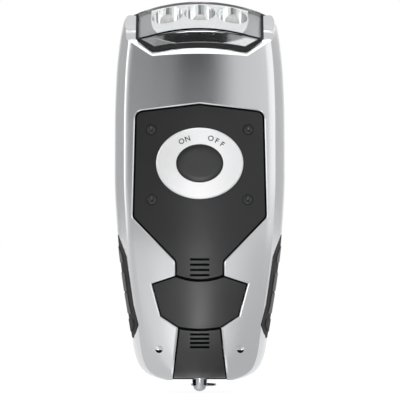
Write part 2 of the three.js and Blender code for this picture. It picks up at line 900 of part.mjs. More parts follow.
function involute(angle) {
  return Math.tan(angle) - angle;
}

// A spur gear's outline about its own centre, with a tooth centred on the phase angle
function gearShape(teeth, module, boreRadius, phase) {
  const pitchRadius = teeth * module / 2;
  const pressure = THREE.MathUtils.degToRad(pressureAngle);
  const baseRadius = pitchRadius * Math.cos(pressure);
  const rootRadius = pitchRadius - dedendumShare * module;
  const tipRadius = pitchRadius + addendumShare * module;
  const halfTooth = Math.PI / (2 * teeth) - toothBacklash / 2 / pitchRadius + involute(pressure);
  const halfAngle = (radius) => {
    const meeting = Math.acos(Math.min(1, baseRadius / radius));
    return halfTooth - involute(meeting);
  };
  const flank = [Math.max(rootRadius, baseRadius), tipRadius];
  if (baseRadius > rootRadius) {
    flank.unshift(rootRadius);
  }
  const points = [];
  for (let i = 0; i < teeth; i++) {
    const middle = phase + 2 * Math.PI * i / teeth;
    for (const radius of flank) {
      const turn = middle - halfAngle(radius);
      points.push(new THREE.Vector2(radius * Math.cos(turn), radius * Math.sin(turn)));
    }
    for (const radius of flank.toReversed()) {
      const turn = middle + halfAngle(radius);
      points.push(new THREE.Vector2(radius * Math.cos(turn), radius * Math.sin(turn)));
    }
  }
  const shape = new THREE.Shape(points);
  const bore = new THREE.Path();
  bore.absarc(0, 0, boreRadius, 0, 2 * Math.PI, true);
  shape.holes.push(bore);
  return shape;
}

// The tooth phase of a gear that meshes with another at rest, lying from it in the given direction
function meshedPhase(phase, teeth, direction, ownTeeth) {
  const driving = (direction - phase) * teeth;
  return direction + Math.PI - (Math.PI - driving) / ownTeeth;
}

function centreFrom(centre, distance, degrees) {
  const turn = THREE.MathUtils.degToRad(degrees);
  return [centre[0] + distance * Math.cos(turn), centre[1] + distance * Math.sin(turn)];
}

const driveDistance = driveModule * (driveTeeth + drivenTeeth) / 2;
const stepDistance = stepModule * (wheelTeeth + pinionTeeth) / 2;
const crankCentre = [0, crankZ];
const gearOneCentre = centreFrom(crankCentre, driveDistance, gearOneAngle);
const gearTwoCentre = centreFrom(gearOneCentre, stepDistance, gearTwoAngle);
const rotorCentre = centreFrom(gearTwoCentre, stepDistance, rotorAngle);
const gearOnePhase = meshedPhase(0, driveTeeth, THREE.MathUtils.degToRad(gearOneAngle), drivenTeeth);
const gearTwoPhase = meshedPhase(0, wheelTeeth, THREE.MathUtils.degToRad(gearTwoAngle), pinionTeeth);
const rotorPhase = meshedPhase(0, wheelTeeth, THREE.MathUtils.degToRad(rotorAngle), pinionTeeth);
const runningBore = axleRadius + runningGap;

function driveGear() {
  const shape = gearShape(driveTeeth, driveModule, crankShaftRadius + seatGap, 0);
  return prismY(shape, driveGearFrom, driveGearTo);
}

function compoundGear(pinion, wheelFrom) {
  const wheelTo = wheelFrom + gearThickness;
  const pinionTo = wheelTo + gearStep + pinionExtra;
  const wheel = prismY(gearShape(wheelTeeth, stepModule, runningBore, 0), wheelFrom, wheelTo);
  return wheel.add(prismY(pinion, wheelFrom, pinionTo));
}

function rotorPinion() {
  const shape = gearShape(pinionTeeth, stepModule, axleRadius + seatGap / 2, rotorPhase);
  return prismY(shape, wheelTwoFrom - pinionExtra, wheelTwoFrom + gearThickness + pinionExtra);
}

function plateShape() {
  return outline([
    [-plateHalfWidth + plateChamfer, plateLowZ],
    [plateHalfWidth - plateChamfer, plateLowZ],
    [plateHalfWidth, plateLowZ + plateChamfer],
    [plateHalfWidth, plateTopZ],
    [-plateHalfWidth, plateTopZ],
    [-plateHalfWidth, plateLowZ + plateChamfer],
  ]);
}

function gearboxPlate(fromY) {
  const toY = fromY + plateThickness;
  let plate = prismY(plateShape(), fromY, toY);
  for (const [x, z] of [gearOneCentre, gearTwoCentre, rotorCentre]) {
    plate = plate.subtract(cylinderY(x, z, runningBore, fromY - overrun, toY + overrun));
  }
  const shaftBore = crankShaftRadius + runningGap;
  return plate.subtract(cylinderY(0, crankZ, shaftBore, fromY - overrun, toY + overrun, roundSides));
}

function pillarPlaces() {
  const x = plateHalfWidth - pillarInset;
  const lowZ = plateLowZ + pillarRise;
  const highZ = plateTopZ - pillarInset;
  return [[-x, highZ], [x, highZ], [-x, lowZ], [x, lowZ]];
}

function gearboxPillar([x, z]) {
  return cylinderY(x, z, pillarRadius, frontPlateTo + seatGap, rearPlateY - seatGap);
}

function gearAxle([x, z]) {
  return cylinderY(x, z, axleRadius, frontPlateFrom, rearPlateY + plateThickness);
}

// Generator

function generatorCan() {
  const [x, z] = rotorCentre;
  return cylinderY(x, z, canRadius, canFrontY, canBackY, roundSides)
    .subtract(cylinderY(x, z, canRadius - canWall, canFrontY + canWall, canBackY + overrun, roundSides))
    .subtract(cylinderY(x, z, runningBore, canFrontY - overrun, canBackY));
}

function generatorCoil() {
  const [x, z] = rotorCentre;
  const outer = canRadius - canWall - seatGap;
  const fromY = canFrontY + canWall + seatGap;
  const toY = fromY + magnetLength;
  return cylinderY(x, z, outer, fromY, toY, roundSides)
    .subtract(cylinderY(x, z, outer - coilWall, fromY - overrun, toY + overrun, roundSides));
}

function rotorMagnet() {
  const [x, z] = rotorCentre;
  const fromY = canFrontY + canWall + 2 * fitGap;
  return cylinderY(x, z, magnetRadius, fromY, fromY + magnetLength, roundSides)
    .subtract(cylinderY(x, z, axleRadius + seatGap / 2, fromY - overrun, fromY + overrun));
}

function rotorShaft() {
  const [x, z] = rotorCentre;
  return cylinderY(x, z, axleRadius, canFrontY, rearPlateY + plateThickness);
}

// Crank

const shaftSquareFrom = backDepth + collarHeight + fitGap;
const shaftEndY = armTopY - hubScrewHeadThickness - fitGap;
function crankShaft() {
  const half = crankSquare / 2;
  const holeFrom = armTopY - hubScrewLength - fitGap;
  const hole = cylinderY(0, crankZ, hubScrewRadius + runningGap, holeFrom, farBack);
  return cylinderY(0, crankZ, crankShaftRadius, frontPlateFrom, shaftSquareFrom, roundSides)
    .add(block(-half, half, rearPlateY, shaftEndY, crankZ - half, crankZ + half))
    .subtract(hole);
}

function armShape() {
  const shape = new THREE.Shape();
  shape.absarc(0, crankZ, hubRadius, Math.PI, 2 * Math.PI, false);
  shape.absarc(0, hingePinZ, armEndRadius, 0, Math.PI, false);
  return shape;
}

function crankArm() {
  const half = crankSquare / 2 + runningGap;
  const slotLowZ = hingePinZ - knobStandoff - knobLength - 2 * fitGap - spindleHeadLength;
  const slotTopZ = hingePinZ + knuckleRadius + 2 * fitGap;
  const headY = armTopY - hubScrewHeadThickness;
  const slot = block(-slotHalfWidth, slotHalfWidth, 0, armTopY + overrun, slotLowZ, slotTopZ);
  return prismY(armShape(), armY, armTopY)
    .add(cylinderY(0, crankZ, hubRadius - fitGap, shaftSquareFrom, armTopY, roundSides))
    .subtract(slot)
    .subtract(block(-half, half, 0, shaftEndY + seatGap, crankZ - half, crankZ + half))
    .subtract(cylinderY(0, crankZ, hubScrewRadius + fitGap, 0, armTopY + overrun))
    .subtract(cylinderY(0, crankZ, hubScrewHeadRadius + fitGap, headY, armTopY + overrun, roundSides))
    .subtract(cylinderX(knobAxisY, hingePinZ, hingePinRadius + runningGap, -halfWidth, halfWidth));
}

function hubScrew() {
  const headY = armTopY - hubScrewHeadThickness;
  const shankToY = armTopY - hubScrewHeadThickness / 2;
  return cylinderY(0, crankZ, hubScrewHeadRadius, headY + seatGap, armTopY - seatGap, middleSides)
    .add(cylinderY(0, crankZ, hubScrewRadius, armTopY - hubScrewLength, shankToY));
}

function knobHingePin() {
  return cylinderX(knobAxisY, hingePinZ, hingePinRadius, -armEndRadius + fitGap, armEndRadius - fitGap);
}

const knobTopZ = hingePinZ - knobStandoff;
const knobLowZ = knobTopZ - knobLength;
function knobSpindle() {
  const halfKnuckle = slotHalfWidth - fitGap;
  const headToZ = knobLowZ + spindleHeadLength;
  return cylinderX(knobAxisY, hingePinZ, knuckleRadius, -halfKnuckle, halfKnuckle, roundSides)
    .add(cylinderZ(0, knobAxisY, spindleRadius, knobLowZ, hingePinZ))
    .add(cylinderZ(0, knobAxisY, spindleHeadRadius, knobLowZ - fitGap, headToZ, middleSides))
    .subtract(cylinderX(knobAxisY, hingePinZ, hingePinRadius + runningGap, -halfWidth, halfWidth));
}

function crankKnob() {
  const bore = spindleRadius + runningGap;
  const seat = spindleHeadRadius + fitGap;
  const seatZ = knobLowZ + spindleHeadLength + fitGap;
  const edge = knobRadius - knobWaistRadius;
  const shoulder = knobRadius - edge / 3;
  const middleZ = (knobLowZ + knobTopZ) / 2;
  const quarter = knobLength / 4;
  return turnedZ([
    [bore, seatZ],
    [seat, seatZ],
    [seat, knobLowZ],
    [knobRadius - edge, knobLowZ],
    [knobRadius, knobLowZ + edge],
    [shoulder, middleZ - quarter],
    [knobWaistRadius, middleZ],
    [shoulder, middleZ + quarter],
    [knobRadius, knobTopZ - edge],
    [knobRadius - edge, knobTopZ],
    [bore, knobTopZ],
    [bore, seatZ],
  ], 0, knobAxisY, middleSides);
}

// Cells, capacitor, screws, stud and ring

function batteryCell(index) {
  const pitch = cellLength + seatGap;
  const fromX = (index - 1) * pitch - cellLength / 2;
  const axisY = backInnerY - seatGap - cellRadius;
  return cylinderX(axisY, cellZ, cellRadius, fromX, fromX + cellLength, roundSides);
}

function capacitor() {
  const fromY = boardFrontY + boardThickness + seatGap;
  return cylinderY(capacitorX, capacitorZ, capacitorRadius, fromY, fromY + capacitorLength);
}

function casingScrew([x, z, headY]) {
  return cylinderY(x, z, screwHeadRadius, headY - screwHeadThickness, headY)
    .add(cylinderY(x, z, screwRadius, headY - screwLength, headY - screwHeadThickness / 2));
}

function lanyardStud() {
  const profile = [[0, -studDrop]];
  for (let i = 1; i <= domeSteps; i++) {
    const turn = i / domeSteps * Math.PI / 2;
    profile.push([studRadius * Math.sin(turn), -studStraight - studRadius * Math.cos(turn)]);
  }
  profile.push(
    [studRadius, casingWall + seatGap],
    [studFlangeRadius, casingWall + seatGap],
    [studFlangeRadius, casingWall + seatGap + studFlangeThickness],
    [0, casingWall + seatGap + studFlangeThickness],
  );
  return turnedZ(profile, 0, 0, middleSides)
    .subtract(cylinderX(0, ringHingeZ, studHoleRadius, -overrun, overrun));
}

function wireRing() {
  const sag = wireRingRadius - Math.sqrt(wireRingRadius ** 2 - studRadius ** 2);
  const geometry = new THREE.TorusGeometry(wireRingRadius, wireRadius, wireSides, wireSteps);
  geometry.translate(0, wireRingRadius - sag / 2, ringHingeZ);
  return solidOf(geometry);
}

// Finishes

function finish(color, roughness, metalness) {
  return new THREE.MeshStandardMaterial({ color, roughness, metalness, flatShading: true });
}

const silverPaint = finish('#b9bbbd', 0.35, 0.6);
const blackPlastic = finish('#2c2c2e', 0.5, 0);
const charcoalPlastic = finish('#3a3b3d', 0.55, 0);
const blackRubber = finish('#262627', 0.8, 0);
const clearPlastic = finish('#e6eaec', 0.05, 0);
const chrome = finish('#d6d8da', 0.1, 1);
const steel = finish('#9a9c9e', 0.35, 1);
const brass = finish('#b08d4a', 0.35, 1);
const nylon = finish('#e3e0d6', 0.5, 0);
const boardGreen = finish('#1f5b3a', 0.5, 0);
const copper = finish('#b06a3c', 0.4, 1);
const cellWrap = finish('#3d6f4d', 0.5, 0);
const magnetGrey = finish('#4a4a4c', 0.6, 0.3);

const flashlight = new THREE.Group();

function place(name, solid, material, x = 0, y = 0, z = 0) {
  const mesh = new THREE.Mesh(geometryOf(solid), material);
  mesh.name = name;
  mesh.position.set(x, y, z);
  flashlight.add(mesh);
}

// Four like pieces, two above and two below
const cornerNames = ['upper_left', 'upper_right', 'lower_left', 'lower_right'];
function placeFour(name, places, make, material) {
  places.forEach((at, i) => place(`${name}_${cornerNames[i]}`, make(at), material));
}

place('front_casing', frontCasing(), silverPaint);
place('rear_casing', rearCasing(), charcoalPlastic);
place('side_grip_left', sideGrip(-1), blackRubber);
place('side_grip_right', sideGrip(1), blackRubber);
place('control_panel', controlPanel(), blackPlastic);
placeFour('panel_pin', pinPlaces(), panelPin, blackPlastic);
place('button_ring', buttonRing(), silverPaint);
place('power_button', powerButton(), blackRubber);
place('switch_body', switchBody(), blackPlastic);
place('switch_plunger', switchPlunger(), nylon);
place('circuit_board', circuitBoard(), boardGreen);
place('capacitor', capacitor(), blackPlastic);
place('belly_shield', bellyShield(), charcoalPlastic);
place('tail_strip', tailStrip(), charcoalPlastic);
place('lens', lens(), clearPlastic);
place('lens_gasket', lensGasket(), blackRubber);
place('reflector', reflector(), chrome);
['led_left', 'led_centre', 'led_right'].forEach((name, i) => {
  place(name, led(), clearPlastic, ledPlaces()[i], lightY);
});
place('led_board', ledBoard(), boardGreen);
['battery_cell_left', 'battery_cell_middle', 'battery_cell_right'].forEach((name, i) => {
  place(name, batteryCell(i), cellWrap);
});
place('gearbox_front_plate', gearboxPlate(frontPlateFrom), steel);
place('gearbox_rear_plate', gearboxPlate(rearPlateY), steel);
placeFour('gearbox_pillar', pillarPlaces(), gearboxPillar, brass);
place('gear_one_axle', gearAxle(gearOneCentre), steel);
place('gear_two_axle', gearAxle(gearTwoCentre), steel);
place('drive_gear', driveGear(), nylon, 0, 0, crankZ);
place(
  'compound_gear_one',
  compoundGear(gearShape(drivenTeeth, driveModule, runningBore, gearOnePhase), wheelOneFrom),
  nylon, gearOneCentre[0], 0, gearOneCentre[1],
);
place(
  'compound_gear_two',
  compoundGear(gearShape(pinionTeeth, stepModule, runningBore, gearTwoPhase), wheelTwoFrom),
  nylon, gearTwoCentre[0], 0, gearTwoCentre[1],
);
place('rotor_pinion', rotorPinion(), brass, rotorCentre[0], 0, rotorCentre[1]);
place('rotor_shaft', rotorShaft(), steel);
place('rotor_magnet', rotorMagnet(), magnetGrey);
place('generator_can', generatorCan(), steel);
place('generator_coil', generatorCoil(), copper);
place('crank_shaft', crankShaft(), steel);
place('crank_arm', crankArm(), blackPlastic);
place('hub_screw', hubScrew(), steel);
place('knob_hinge_pin', knobHingePin(), steel);
place('knob_spindle', knobSpindle(), steel);
place('crank_knob', crankKnob(), blackPlastic);
placeFour('casing_screw', screwPlaces(), casingScrew, steel);
place('lanyard_stud', lanyardStud(), chrome);
place('wire_ring', wireRing(), chrome);

// The origin is on the ground under the middle of the whole torch
const wholeBox = new THREE.Box3().setFromObject(flashlight);
flashlight.position.set(0, -(wholeBox.min.y + wholeBox.max.y) / 2, -wholeBox.min.z);

export default flashlight;
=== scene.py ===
import math

import bmesh
import bpy
from mathutils import Matrix, Vector


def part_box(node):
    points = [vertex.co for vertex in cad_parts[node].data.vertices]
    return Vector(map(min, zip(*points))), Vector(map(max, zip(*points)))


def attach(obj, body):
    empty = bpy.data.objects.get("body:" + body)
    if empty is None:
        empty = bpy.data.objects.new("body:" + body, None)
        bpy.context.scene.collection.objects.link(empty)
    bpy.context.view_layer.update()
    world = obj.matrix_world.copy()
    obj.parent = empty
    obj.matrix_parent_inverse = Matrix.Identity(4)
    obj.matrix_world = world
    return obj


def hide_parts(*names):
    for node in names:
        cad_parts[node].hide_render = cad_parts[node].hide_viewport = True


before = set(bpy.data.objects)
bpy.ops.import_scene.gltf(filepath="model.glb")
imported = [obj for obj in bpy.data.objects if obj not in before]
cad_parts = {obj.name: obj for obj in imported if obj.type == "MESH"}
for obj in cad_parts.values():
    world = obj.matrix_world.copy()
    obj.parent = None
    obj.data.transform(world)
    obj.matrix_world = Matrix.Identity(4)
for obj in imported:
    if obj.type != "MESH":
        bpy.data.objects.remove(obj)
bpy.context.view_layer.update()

bl_info = {
    "name": "Hand Crank Flashlight",
    "version": (1, 0, 0),
    "blender": (4, 5, 0),
    "location": "View3D > Sidebar > Flashlight",
    "description": "Builds a pocket flashlight with a folding hand crank around its packed frame",
    "category": "Add Mesh",
}

# Lengths below are in millimetres on the torch's own axes: X across, Y from the button side (minus)
# to the crank side (plus), Z from the tail face to the light. Blender's are metres.
MM = 0.001
TAIL_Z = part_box("front_casing")[0].z
PARTING_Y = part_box("front_casing")[1].y
# For cutters: past the torch on every side, and a height above it
FAR = 60
ABOVE = 150
# Points closer than this are merged
MERGE = 0.001
# A face whose middle is closer than this to a surface lies on it
TOUCHING = 0.06


class FlashlightSizes(bpy.types.PropertyGroup):
    """Sizes of the moulded outside"""

    def length(label, text, millimetres):
        return bpy.props.FloatProperty(
            name=label, description=text, default=millimetres * MM, min=0, subtype="DISTANCE", unit="LENGTH"
        )

    body_length: length("Body length", "From the tail face to the top of the crown", 128.9)
    body_width: length("Body width", "Across the widest part", 58)
    front_depth: length("Front depth", "From the parting line to the middle of the button side", 19.5)
    back_depth: length("Back depth", "From the parting line to the flat back", 14)
    front_crown: length("Front crown", "How far the button side bulges between its creases", 3)
    casing_wall: length("Casing wall", "Thickness of the two moulded shells", 2.4)
    lens_wall: length("Lens wall", "Thickness of the clear lens", 1.1)
    panel_recess: length("Panel recess", "How deep the control panel lies under the silver shell", 0.6)
    panel_thickness: length("Panel thickness", "Thickness of the panel, the shield and the strip", 1.7)
    shield_recess: length("Shield recess", "How deep the belly shield lies", 0.85)
    strip_recess: length("Strip recess", "How deep the tail strip lies", 0.7)
    edge_chamfer: length("Opening chamfer", "Width of the chamfers round the openings of the front", 0.38)
    grip_proud: length("Grip height", "How far the pads of the grips stand out of the sides", 0.2)


class FlashlightColours(bpy.types.PropertyGroup):
    """Colours of the finishes"""

    def colour(label, text, code):
        return bpy.props.FloatVectorProperty(
            name=label, description=text, default=code, size=3, min=0, max=1, subtype="COLOR_GAMMA"
        )

    def rgb(code):
        return tuple(int(code[i:i + 2], 16) / 255 for i in (1, 3, 5))

    silver_paint: colour("Silver paint", "Metallic paint of the front shell", rgb("#c4c5c7"))
    charcoal: colour("Charcoal ABS", "Belly shield and tail strip", rgb("#222224"))
    black: colour("Black ABS", "Control panel and its pins", rgb("#1c1c1e"))
    rubber: colour("Black rubber", "Side grips", rgb("#232324"))


def sizes():
    return bpy.context.scene.flashlight_sizes


def colours():
    return bpy.context.scene.flashlight_colours


def in_mm(length):
    return length / MM


def place(x, y, z):
    """A point of the torch, given in millimetres, in Blender's metres."""
    return Vector((x * MM, y * MM + PARTING_Y, z * MM + TAIL_Z))


def far_side(node):
    """How far a CAD node reaches behind the parting line, in millimetres."""
    return in_mm(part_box(node)[1].y - PARTING_Y)


# Selection, modifiers and cuts


def nothing_selected():
    if bpy.context.object and bpy.context.object.mode != "OBJECT":
        bpy.ops.object.mode_set(mode="OBJECT")
    bpy.ops.object.select_all(action="DESELECT")


def only(piece):
    nothing_selected()
    piece.select_set(True)
    bpy.context.view_layer.objects.active = piece


def edit(piece):
    only(piece)
    bpy.ops.object.mode_set(mode="EDIT")
    bpy.ops.mesh.select_all(action="SELECT")


def leave_edit():
    bpy.ops.object.mode_set(mode="OBJECT")


def new_piece(name):
    piece = bpy.context.object
    piece.name = name
    piece.data.name = name
    return piece


def at_origin(piece):
    """Moves a piece's place into its mesh."""
    only(piece)
    bpy.ops.object.transform_apply(location=True, rotation=True, scale=True)


def apply_modifier(piece, kind, **settings):
    only(piece)
    bpy.ops.object.modifier_add(type=kind)
    modifier = piece.modifiers[-1]
    for name, value in settings.items():
        setattr(modifier, name, value)
    bpy.ops.object.modifier_apply(modifier=modifier.name)


def combine(piece, tool, operation, keep=False):
    """A boolean of two solids; the tool is thrown away unless it is kept."""
    apply_modifier(piece, "BOOLEAN", operation=operation, object=tool, solver="MANIFOLD")
    if not keep:
        bpy.data.objects.remove(tool, do_unlink=True)


def cut(piece, *tools):
    for tool in tools:
        combine(piece, tool, "DIFFERENCE")


def copy_of(piece, name):
    only(piece)
    bpy.ops.object.duplicate()
    return new_piece(name)


def outward(piece):
    """Turns the faces of a closed solid outwards, whatever its form."""
    edit(piece)
    bpy.ops.mesh.normals_make_consistent(inside=False)
    leave_edit()
    solid = bmesh.new()
    solid.from_mesh(piece.data)
    inside_out = solid.calc_volume(signed=True) < 0
    solid.free()
    if inside_out:
        edit(piece)
        bpy.ops.mesh.flip_normals()
        leave_edit()


def crisp(piece, degrees=28):
    """Merges doubles and shades smooth, with sharp edges past an angle."""
    edit(piece)
    bpy.ops.mesh.remove_doubles(threshold=MERGE * MM)
    leave_edit()
    bpy.ops.object.shade_smooth_by_angle(angle=math.radians(degrees))
    apply_modifier(piece, "WEIGHTED_NORMAL", keep_sharp=True, weight=80)


# Outlines, in millimetres across X and up Z


def mirrored(right):
    """A closed outline from its right half, whose points on the middle line aren't repeated."""
    return right + [(-x, z) for x, z in reversed(right) if x != 0]


def flipped(points):
    """The same points on the other side of the middle line, in the opposite order."""
    return [(-x, z) for x, z in reversed(points)]


def rectangle(left, low, right, high):
    return [(left, low), (right, low), (right, high), (left, high)]


def whole_view():
    """An outline round the whole torch."""
    return rectangle(-FAR, -FAR, FAR, 3 * FAR)


def bar(x, z, half_x, half_z):
    """An upright rectangle round a point."""
    return rectangle(x - half_x, z - half_z, x + half_x, z + half_z)


def rounded(points, radii, steps=6):
    """The same closed outline with its corners rounded, one radius for each corner."""
    result = []
    for i, (corner, radius) in enumerate(zip(points, radii)):
        middle = Vector(corner)
        if radius == 0:
            result.append(tuple(middle))
            continue
        before = Vector(points[i - 1]) - middle
        after = Vector(points[(i + 1) % len(points)]) - middle
        angle = before.angle(after)
        reach = min(radius / math.tan(angle / 2), before.length / 2, after.length / 2)
        start = middle + before.normalized() * reach
        end = middle + after.normalized() * reach
        for step in range(steps + 1):
            share = step / steps
            point = start * (1 - share) ** 2 + middle * 2 * share * (1 - share) + end * share ** 2
            result.append(tuple(point))
    return result


def grown(points, distance):
    """The same closed outline moved outwards at every edge."""
    count = len(points)
    area = sum(points[i - 1][0] * points[i][1] - points[i][0] * points[i - 1][1] for i in range(count))
    side = distance * math.copysign(1, area)
    result = []
    for i, (x, z) in enumerate(points):
        before = Vector((x - points[i - 1][0], z - points[i - 1][1])).normalized()
        after = Vector((points[(i + 1) % count][0] - x, points[(i + 1) % count][1] - z)).normalized()
        mitre = Vector((before.y + after.y, -before.x - after.x)).normalized()
        reach = side / (mitre.x * before.y - mitre.y * before.x)
        result.append((x + mitre.x * reach, z + mitre.y * reach))
    return result


def arched(from_x, to_x, end_z, rise, steps=16):
    """The points between the ends of a shallow arc that peaks by rise in the middle."""
    points = []
    for i in range(1, steps):
        share = 2 * i / steps - 1
        points.append((from_x + (to_x - from_x) * i / steps, end_z + rise * (1 - share * share)))
    return points


def arch(half, end_z, rise):
    """A shallow arc from right to left, with its ends."""
    return [(half, end_z), *arched(half, -half, end_z, rise), (-half, end_z)]


# The button's centre, and half widths and heights of the ovals round it
BUTTON_Z = 73.6
BUTTON, BUTTON_HOLE = (7.7, 6.2), (8, 6.5)
RING, RING_SEAT = (14.8, 12.1), (14.95, 12.25)
LETTER_LINE = (10.9, 8.9)


def oval(halves, growth=0.0, steps=96):
    """An oval round the button's centre, from its half width and half height."""
    half_x, half_z = halves[0] + growth, halves[1] + growth
    turns = [2 * math.pi * i / steps for i in range(steps)]
    return [(half_x * math.cos(turn), BUTTON_Z + half_z * math.sin(turn)) for turn in turns]


def quarter(radius, height, up=1, steps=10):
    """A quarter arc of a turned profile, from its side at a height to its tip on the axis."""
    turns = [math.pi / 2 * i / steps for i in range(steps + 1)]
    return [(radius * math.cos(turn), height + up * radius * math.sin(turn)) for turn in turns]


# Simple solids made from primitives


def prism(name, outline, near=-FAR, far=FAR):
    """An outline drawn in front view, extruded from near to far."""
    nothing_selected()
    bpy.ops.mesh.primitive_circle_add(vertices=len(outline), radius=MM, fill_type="NGON")
    piece = new_piece(name)
    for vertex, (x, z) in zip(piece.data.vertices, outline):
        vertex.co = place(x, near, z)
    edit(piece)
    bpy.ops.mesh.extrude_region_move(TRANSFORM_OT_translate={"value": (0, (far - near) * MM, 0)})
    outward(piece)
    return piece


def rod(name, start, end, radius, sides=32):
    """A cylinder between two points in millimetres."""
    a, b = place(*start), place(*end)
    turn = (b - a).to_track_quat("Z", "Y").to_euler()
    nothing_selected()
    bpy.ops.mesh.primitive_cylinder_add(
        vertices=sides, radius=radius * MM, depth=(b - a).length, location=(a + b) / 2, rotation=turn
    )
    piece = new_piece(name)
    at_origin(piece)
    return piece


def ball(name, centre, radius, segments):
    nothing_selected()
    bpy.ops.mesh.primitive_uv_sphere_add(
        segments=segments, ring_count=segments // 2, radius=radius * MM, location=place(*centre)
    )
    piece = new_piece(name)
    at_origin(piece)
    return piece


def turned(name, profile, centre, steps=64):
    """A solid spun about an upright axis through centre, from a list of radius and height."""
    nothing_selected()
    x, y = centre
    bpy.ops.mesh.primitive_circle_add(vertices=len(profile), radius=MM, fill_type="NOTHING")
    piece = new_piece(name)
    for vertex, (radius, height) in zip(piece.data.vertices, profile):
        vertex.co = place(x + radius, y, height)
    edit(piece)
    bpy.ops.mesh.spin(steps=steps, angle=2 * math.pi, center=place(x, y, 0), axis=(0, 0, 1))
    bpy.ops.mesh.select_all(action="SELECT")
    bpy.ops.mesh.remove_doubles(threshold=2 * MERGE * MM)
    bpy.ops.mesh.delete_loose()
    outward(piece)
    return piece


# The body's form: sections from tail to crown, each a height with its half width, front depth and
# back depth, all as shares of the whole
SECTION_SHARES = [
    (0, 0.43, 0.56, 0.57),
    (0.007, 0.54, 0.64, 0.67),
    (0.019, 0.64, 0.74, 0.8),
    (0.038, 0.712, 0.815, 0.88),
    (0.072, 0.767, 0.88, 0.955),
    (0.109, 0.795, 0.913, 0.986),
    (0.18, 0.845, 0.955, 1),
    (0.28, 0.914, 0.982, 1),
    (0.39, 0.967, 0.997, 1),
    (0.54, 1, 1, 1),
    (0.682, 0.998, 1, 1),
    (0.8, 0.98, 0.99, 1),
    (0.88, 0.947, 0.97, 0.985),
    (0.94, 0.9, 0.955, 0.945),
    (0.96, 0.862, 0.95, 0.91),
    (0.973, 0.775, 0.95, 0.88),
    (1.02, 0.75, 0.95, 0.85),
]
# Across the front a section bulges out to the crease, and from there it follows these shares of
# its half width and depth to the flat back
CREASE_SHARE = 0.855
SIDE_SHARES = [(0.885, -0.82), (0.928, -0.63), (0.965, -0.42), (0.99, -0.2), (1, 0), (0.998, 0.16),
               (0.992, 0.32), (0.975, 0.48), (0.952, 0.64), (0.925, 0.78), (0.89, 0.89), (0.85, 0.965),
               (0.8, 1), (0.53, 1), (0.27, 1)]
FRONT_STEPS = 14
RING_STEP = 2.2
# How far towards the side the front's depth is looked up, as a share of the half width
FRONT_REACH = 0.94
# How far a slope's cutter stands off the skin, and the length of its facets
CLEAR_OF_SKIN = 3
SLOPE_STEP = 0.8


def eased(table, height):
    """The row of a table at a height, on a smooth curve that never overshoots its rows."""
    index = max(i for i, row in enumerate(table[:-1]) if row[0] <= height)
    low, high = table[index], table[index + 1]
    span = high[0] - low[0]
    share = (height - low[0]) / span
    values = []
    for k in range(1, len(low)):
        slope = (high[k] - low[k]) / span
        slopes = []
        for i in (index, index + 1):
            if i == 0 or i == len(table) - 1:
                slopes.append(slope)
                continue
            a = (table[i][k] - table[i - 1][k]) / (table[i][0] - table[i - 1][0])
            b = (table[i + 1][k] - table[i][k]) / (table[i + 1][0] - table[i][0])
            slopes.append(2 * a * b / (a + b) if a * b > 0 else 0)
        square, cube = share * share, share ** 3
        values.append(
            low[k] * (2 * cube - 3 * square + 1)
            + high[k] * (3 * square - 2 * cube)
            + slopes[0] * span * (cube - 2 * square + share)
            + slopes[1] * span * (cube - square)
        )
    return values


def ring_heights():
    """Heights of the sections as shares, close together where the form turns fast."""
    heights = []
    length = in_mm(sizes().body_length)
    for low, high in zip(SECTION_SHARES, SECTION_SHARES[1:]):
        count = max(2, round((high[0] - low[0]) * length / RING_STEP))
        heights += [low[0] + (high[0] - low[0]) * i / count for i in range(count)]
    return heights + [SECTION_SHARES[-1][0]]


def section_points():
    """The right half of a section from front to back, as shares of half width and depth."""
    crown = sizes().front_crown / sizes().front_depth
    points = []
    for i in range(FRONT_STEPS + 1):
        share = i / FRONT_STEPS
        points.append((share * CREASE_SHARE, -1 + crown * share * share))
    return points + SIDE_SHARES + [(0, 1)]


def body_stack(name, inset):
    """A column of rings pulled up from the tail, each widened to its section."""
    half = section_points()
    ring = mirrored(half)
    heights = ring_heights()
    length, width = in_mm(sizes().body_length), in_mm(sizes().body_width) / 2
    front, back = in_mm(sizes().front_depth), in_mm(sizes().back_depth)
    nothing_selected()
    bpy.ops.mesh.primitive_circle_add(vertices=len(ring), radius=MM, fill_type="NGON")
    piece = new_piece(name)
    edit(piece)
    for _ in heights[1:]:
        bpy.ops.mesh.extrude_region_move(TRANSFORM_OT_translate={"value": (0, 0, MM)})
    leave_edit()
    levels = sorted({round(vertex.co.z / MM) for vertex in piece.data.vertices})
    order = {level: i for i, level in enumerate(levels)}
    for vertex in piece.data.vertices:
        level = order[round(vertex.co.z / MM)]
        across, along = ring[vertex.index % len(ring)]
        wide, fore, aft = eased(SECTION_SHARES, heights[level])
        depth = fore * front - inset if along < 0 else aft * back - inset
        z = inset + heights[level] * (length - inset)
        vertex.co = place(across * (wide * width - inset), along * depth, z)
    outward(piece)
    return piece


# The head is cut by three faces that are arched across X: the slanted top, the steep front facet
# and the slope behind. Each has its slope along Y, and the depth and the drop from the body's
# length of the point that it passes through in the middle.
CROWN_RADIUS = 59
CROWN_FACES = [(0.55, 0, 0), (3.3, -18.9, -15.2), (-0.35, 0, 0)]
CROWN_REACH = 33
CROWN_STEPS = 66
# The shoulders at both sides of the window rise over their width. Their faces have a lift too. They
# begin at a height, lie a little inside the sections, and have a wall.
WINDOW_HALF = 21.7
SHOULDER_WIDTH = 3.6
SHOULDER_LIFT = 1.5
SHOULDER_FACES = [(0.55, 0, 0.1, SHOULDER_LIFT), (3.3, -18.9, -15.1, SHOULDER_LIFT), (-1.6, -1.2, 2, 0)]
SHOULDER_FOOT = 108
SHOULDER_INSET = 0.03
SHOULDER_WALL = 1.2


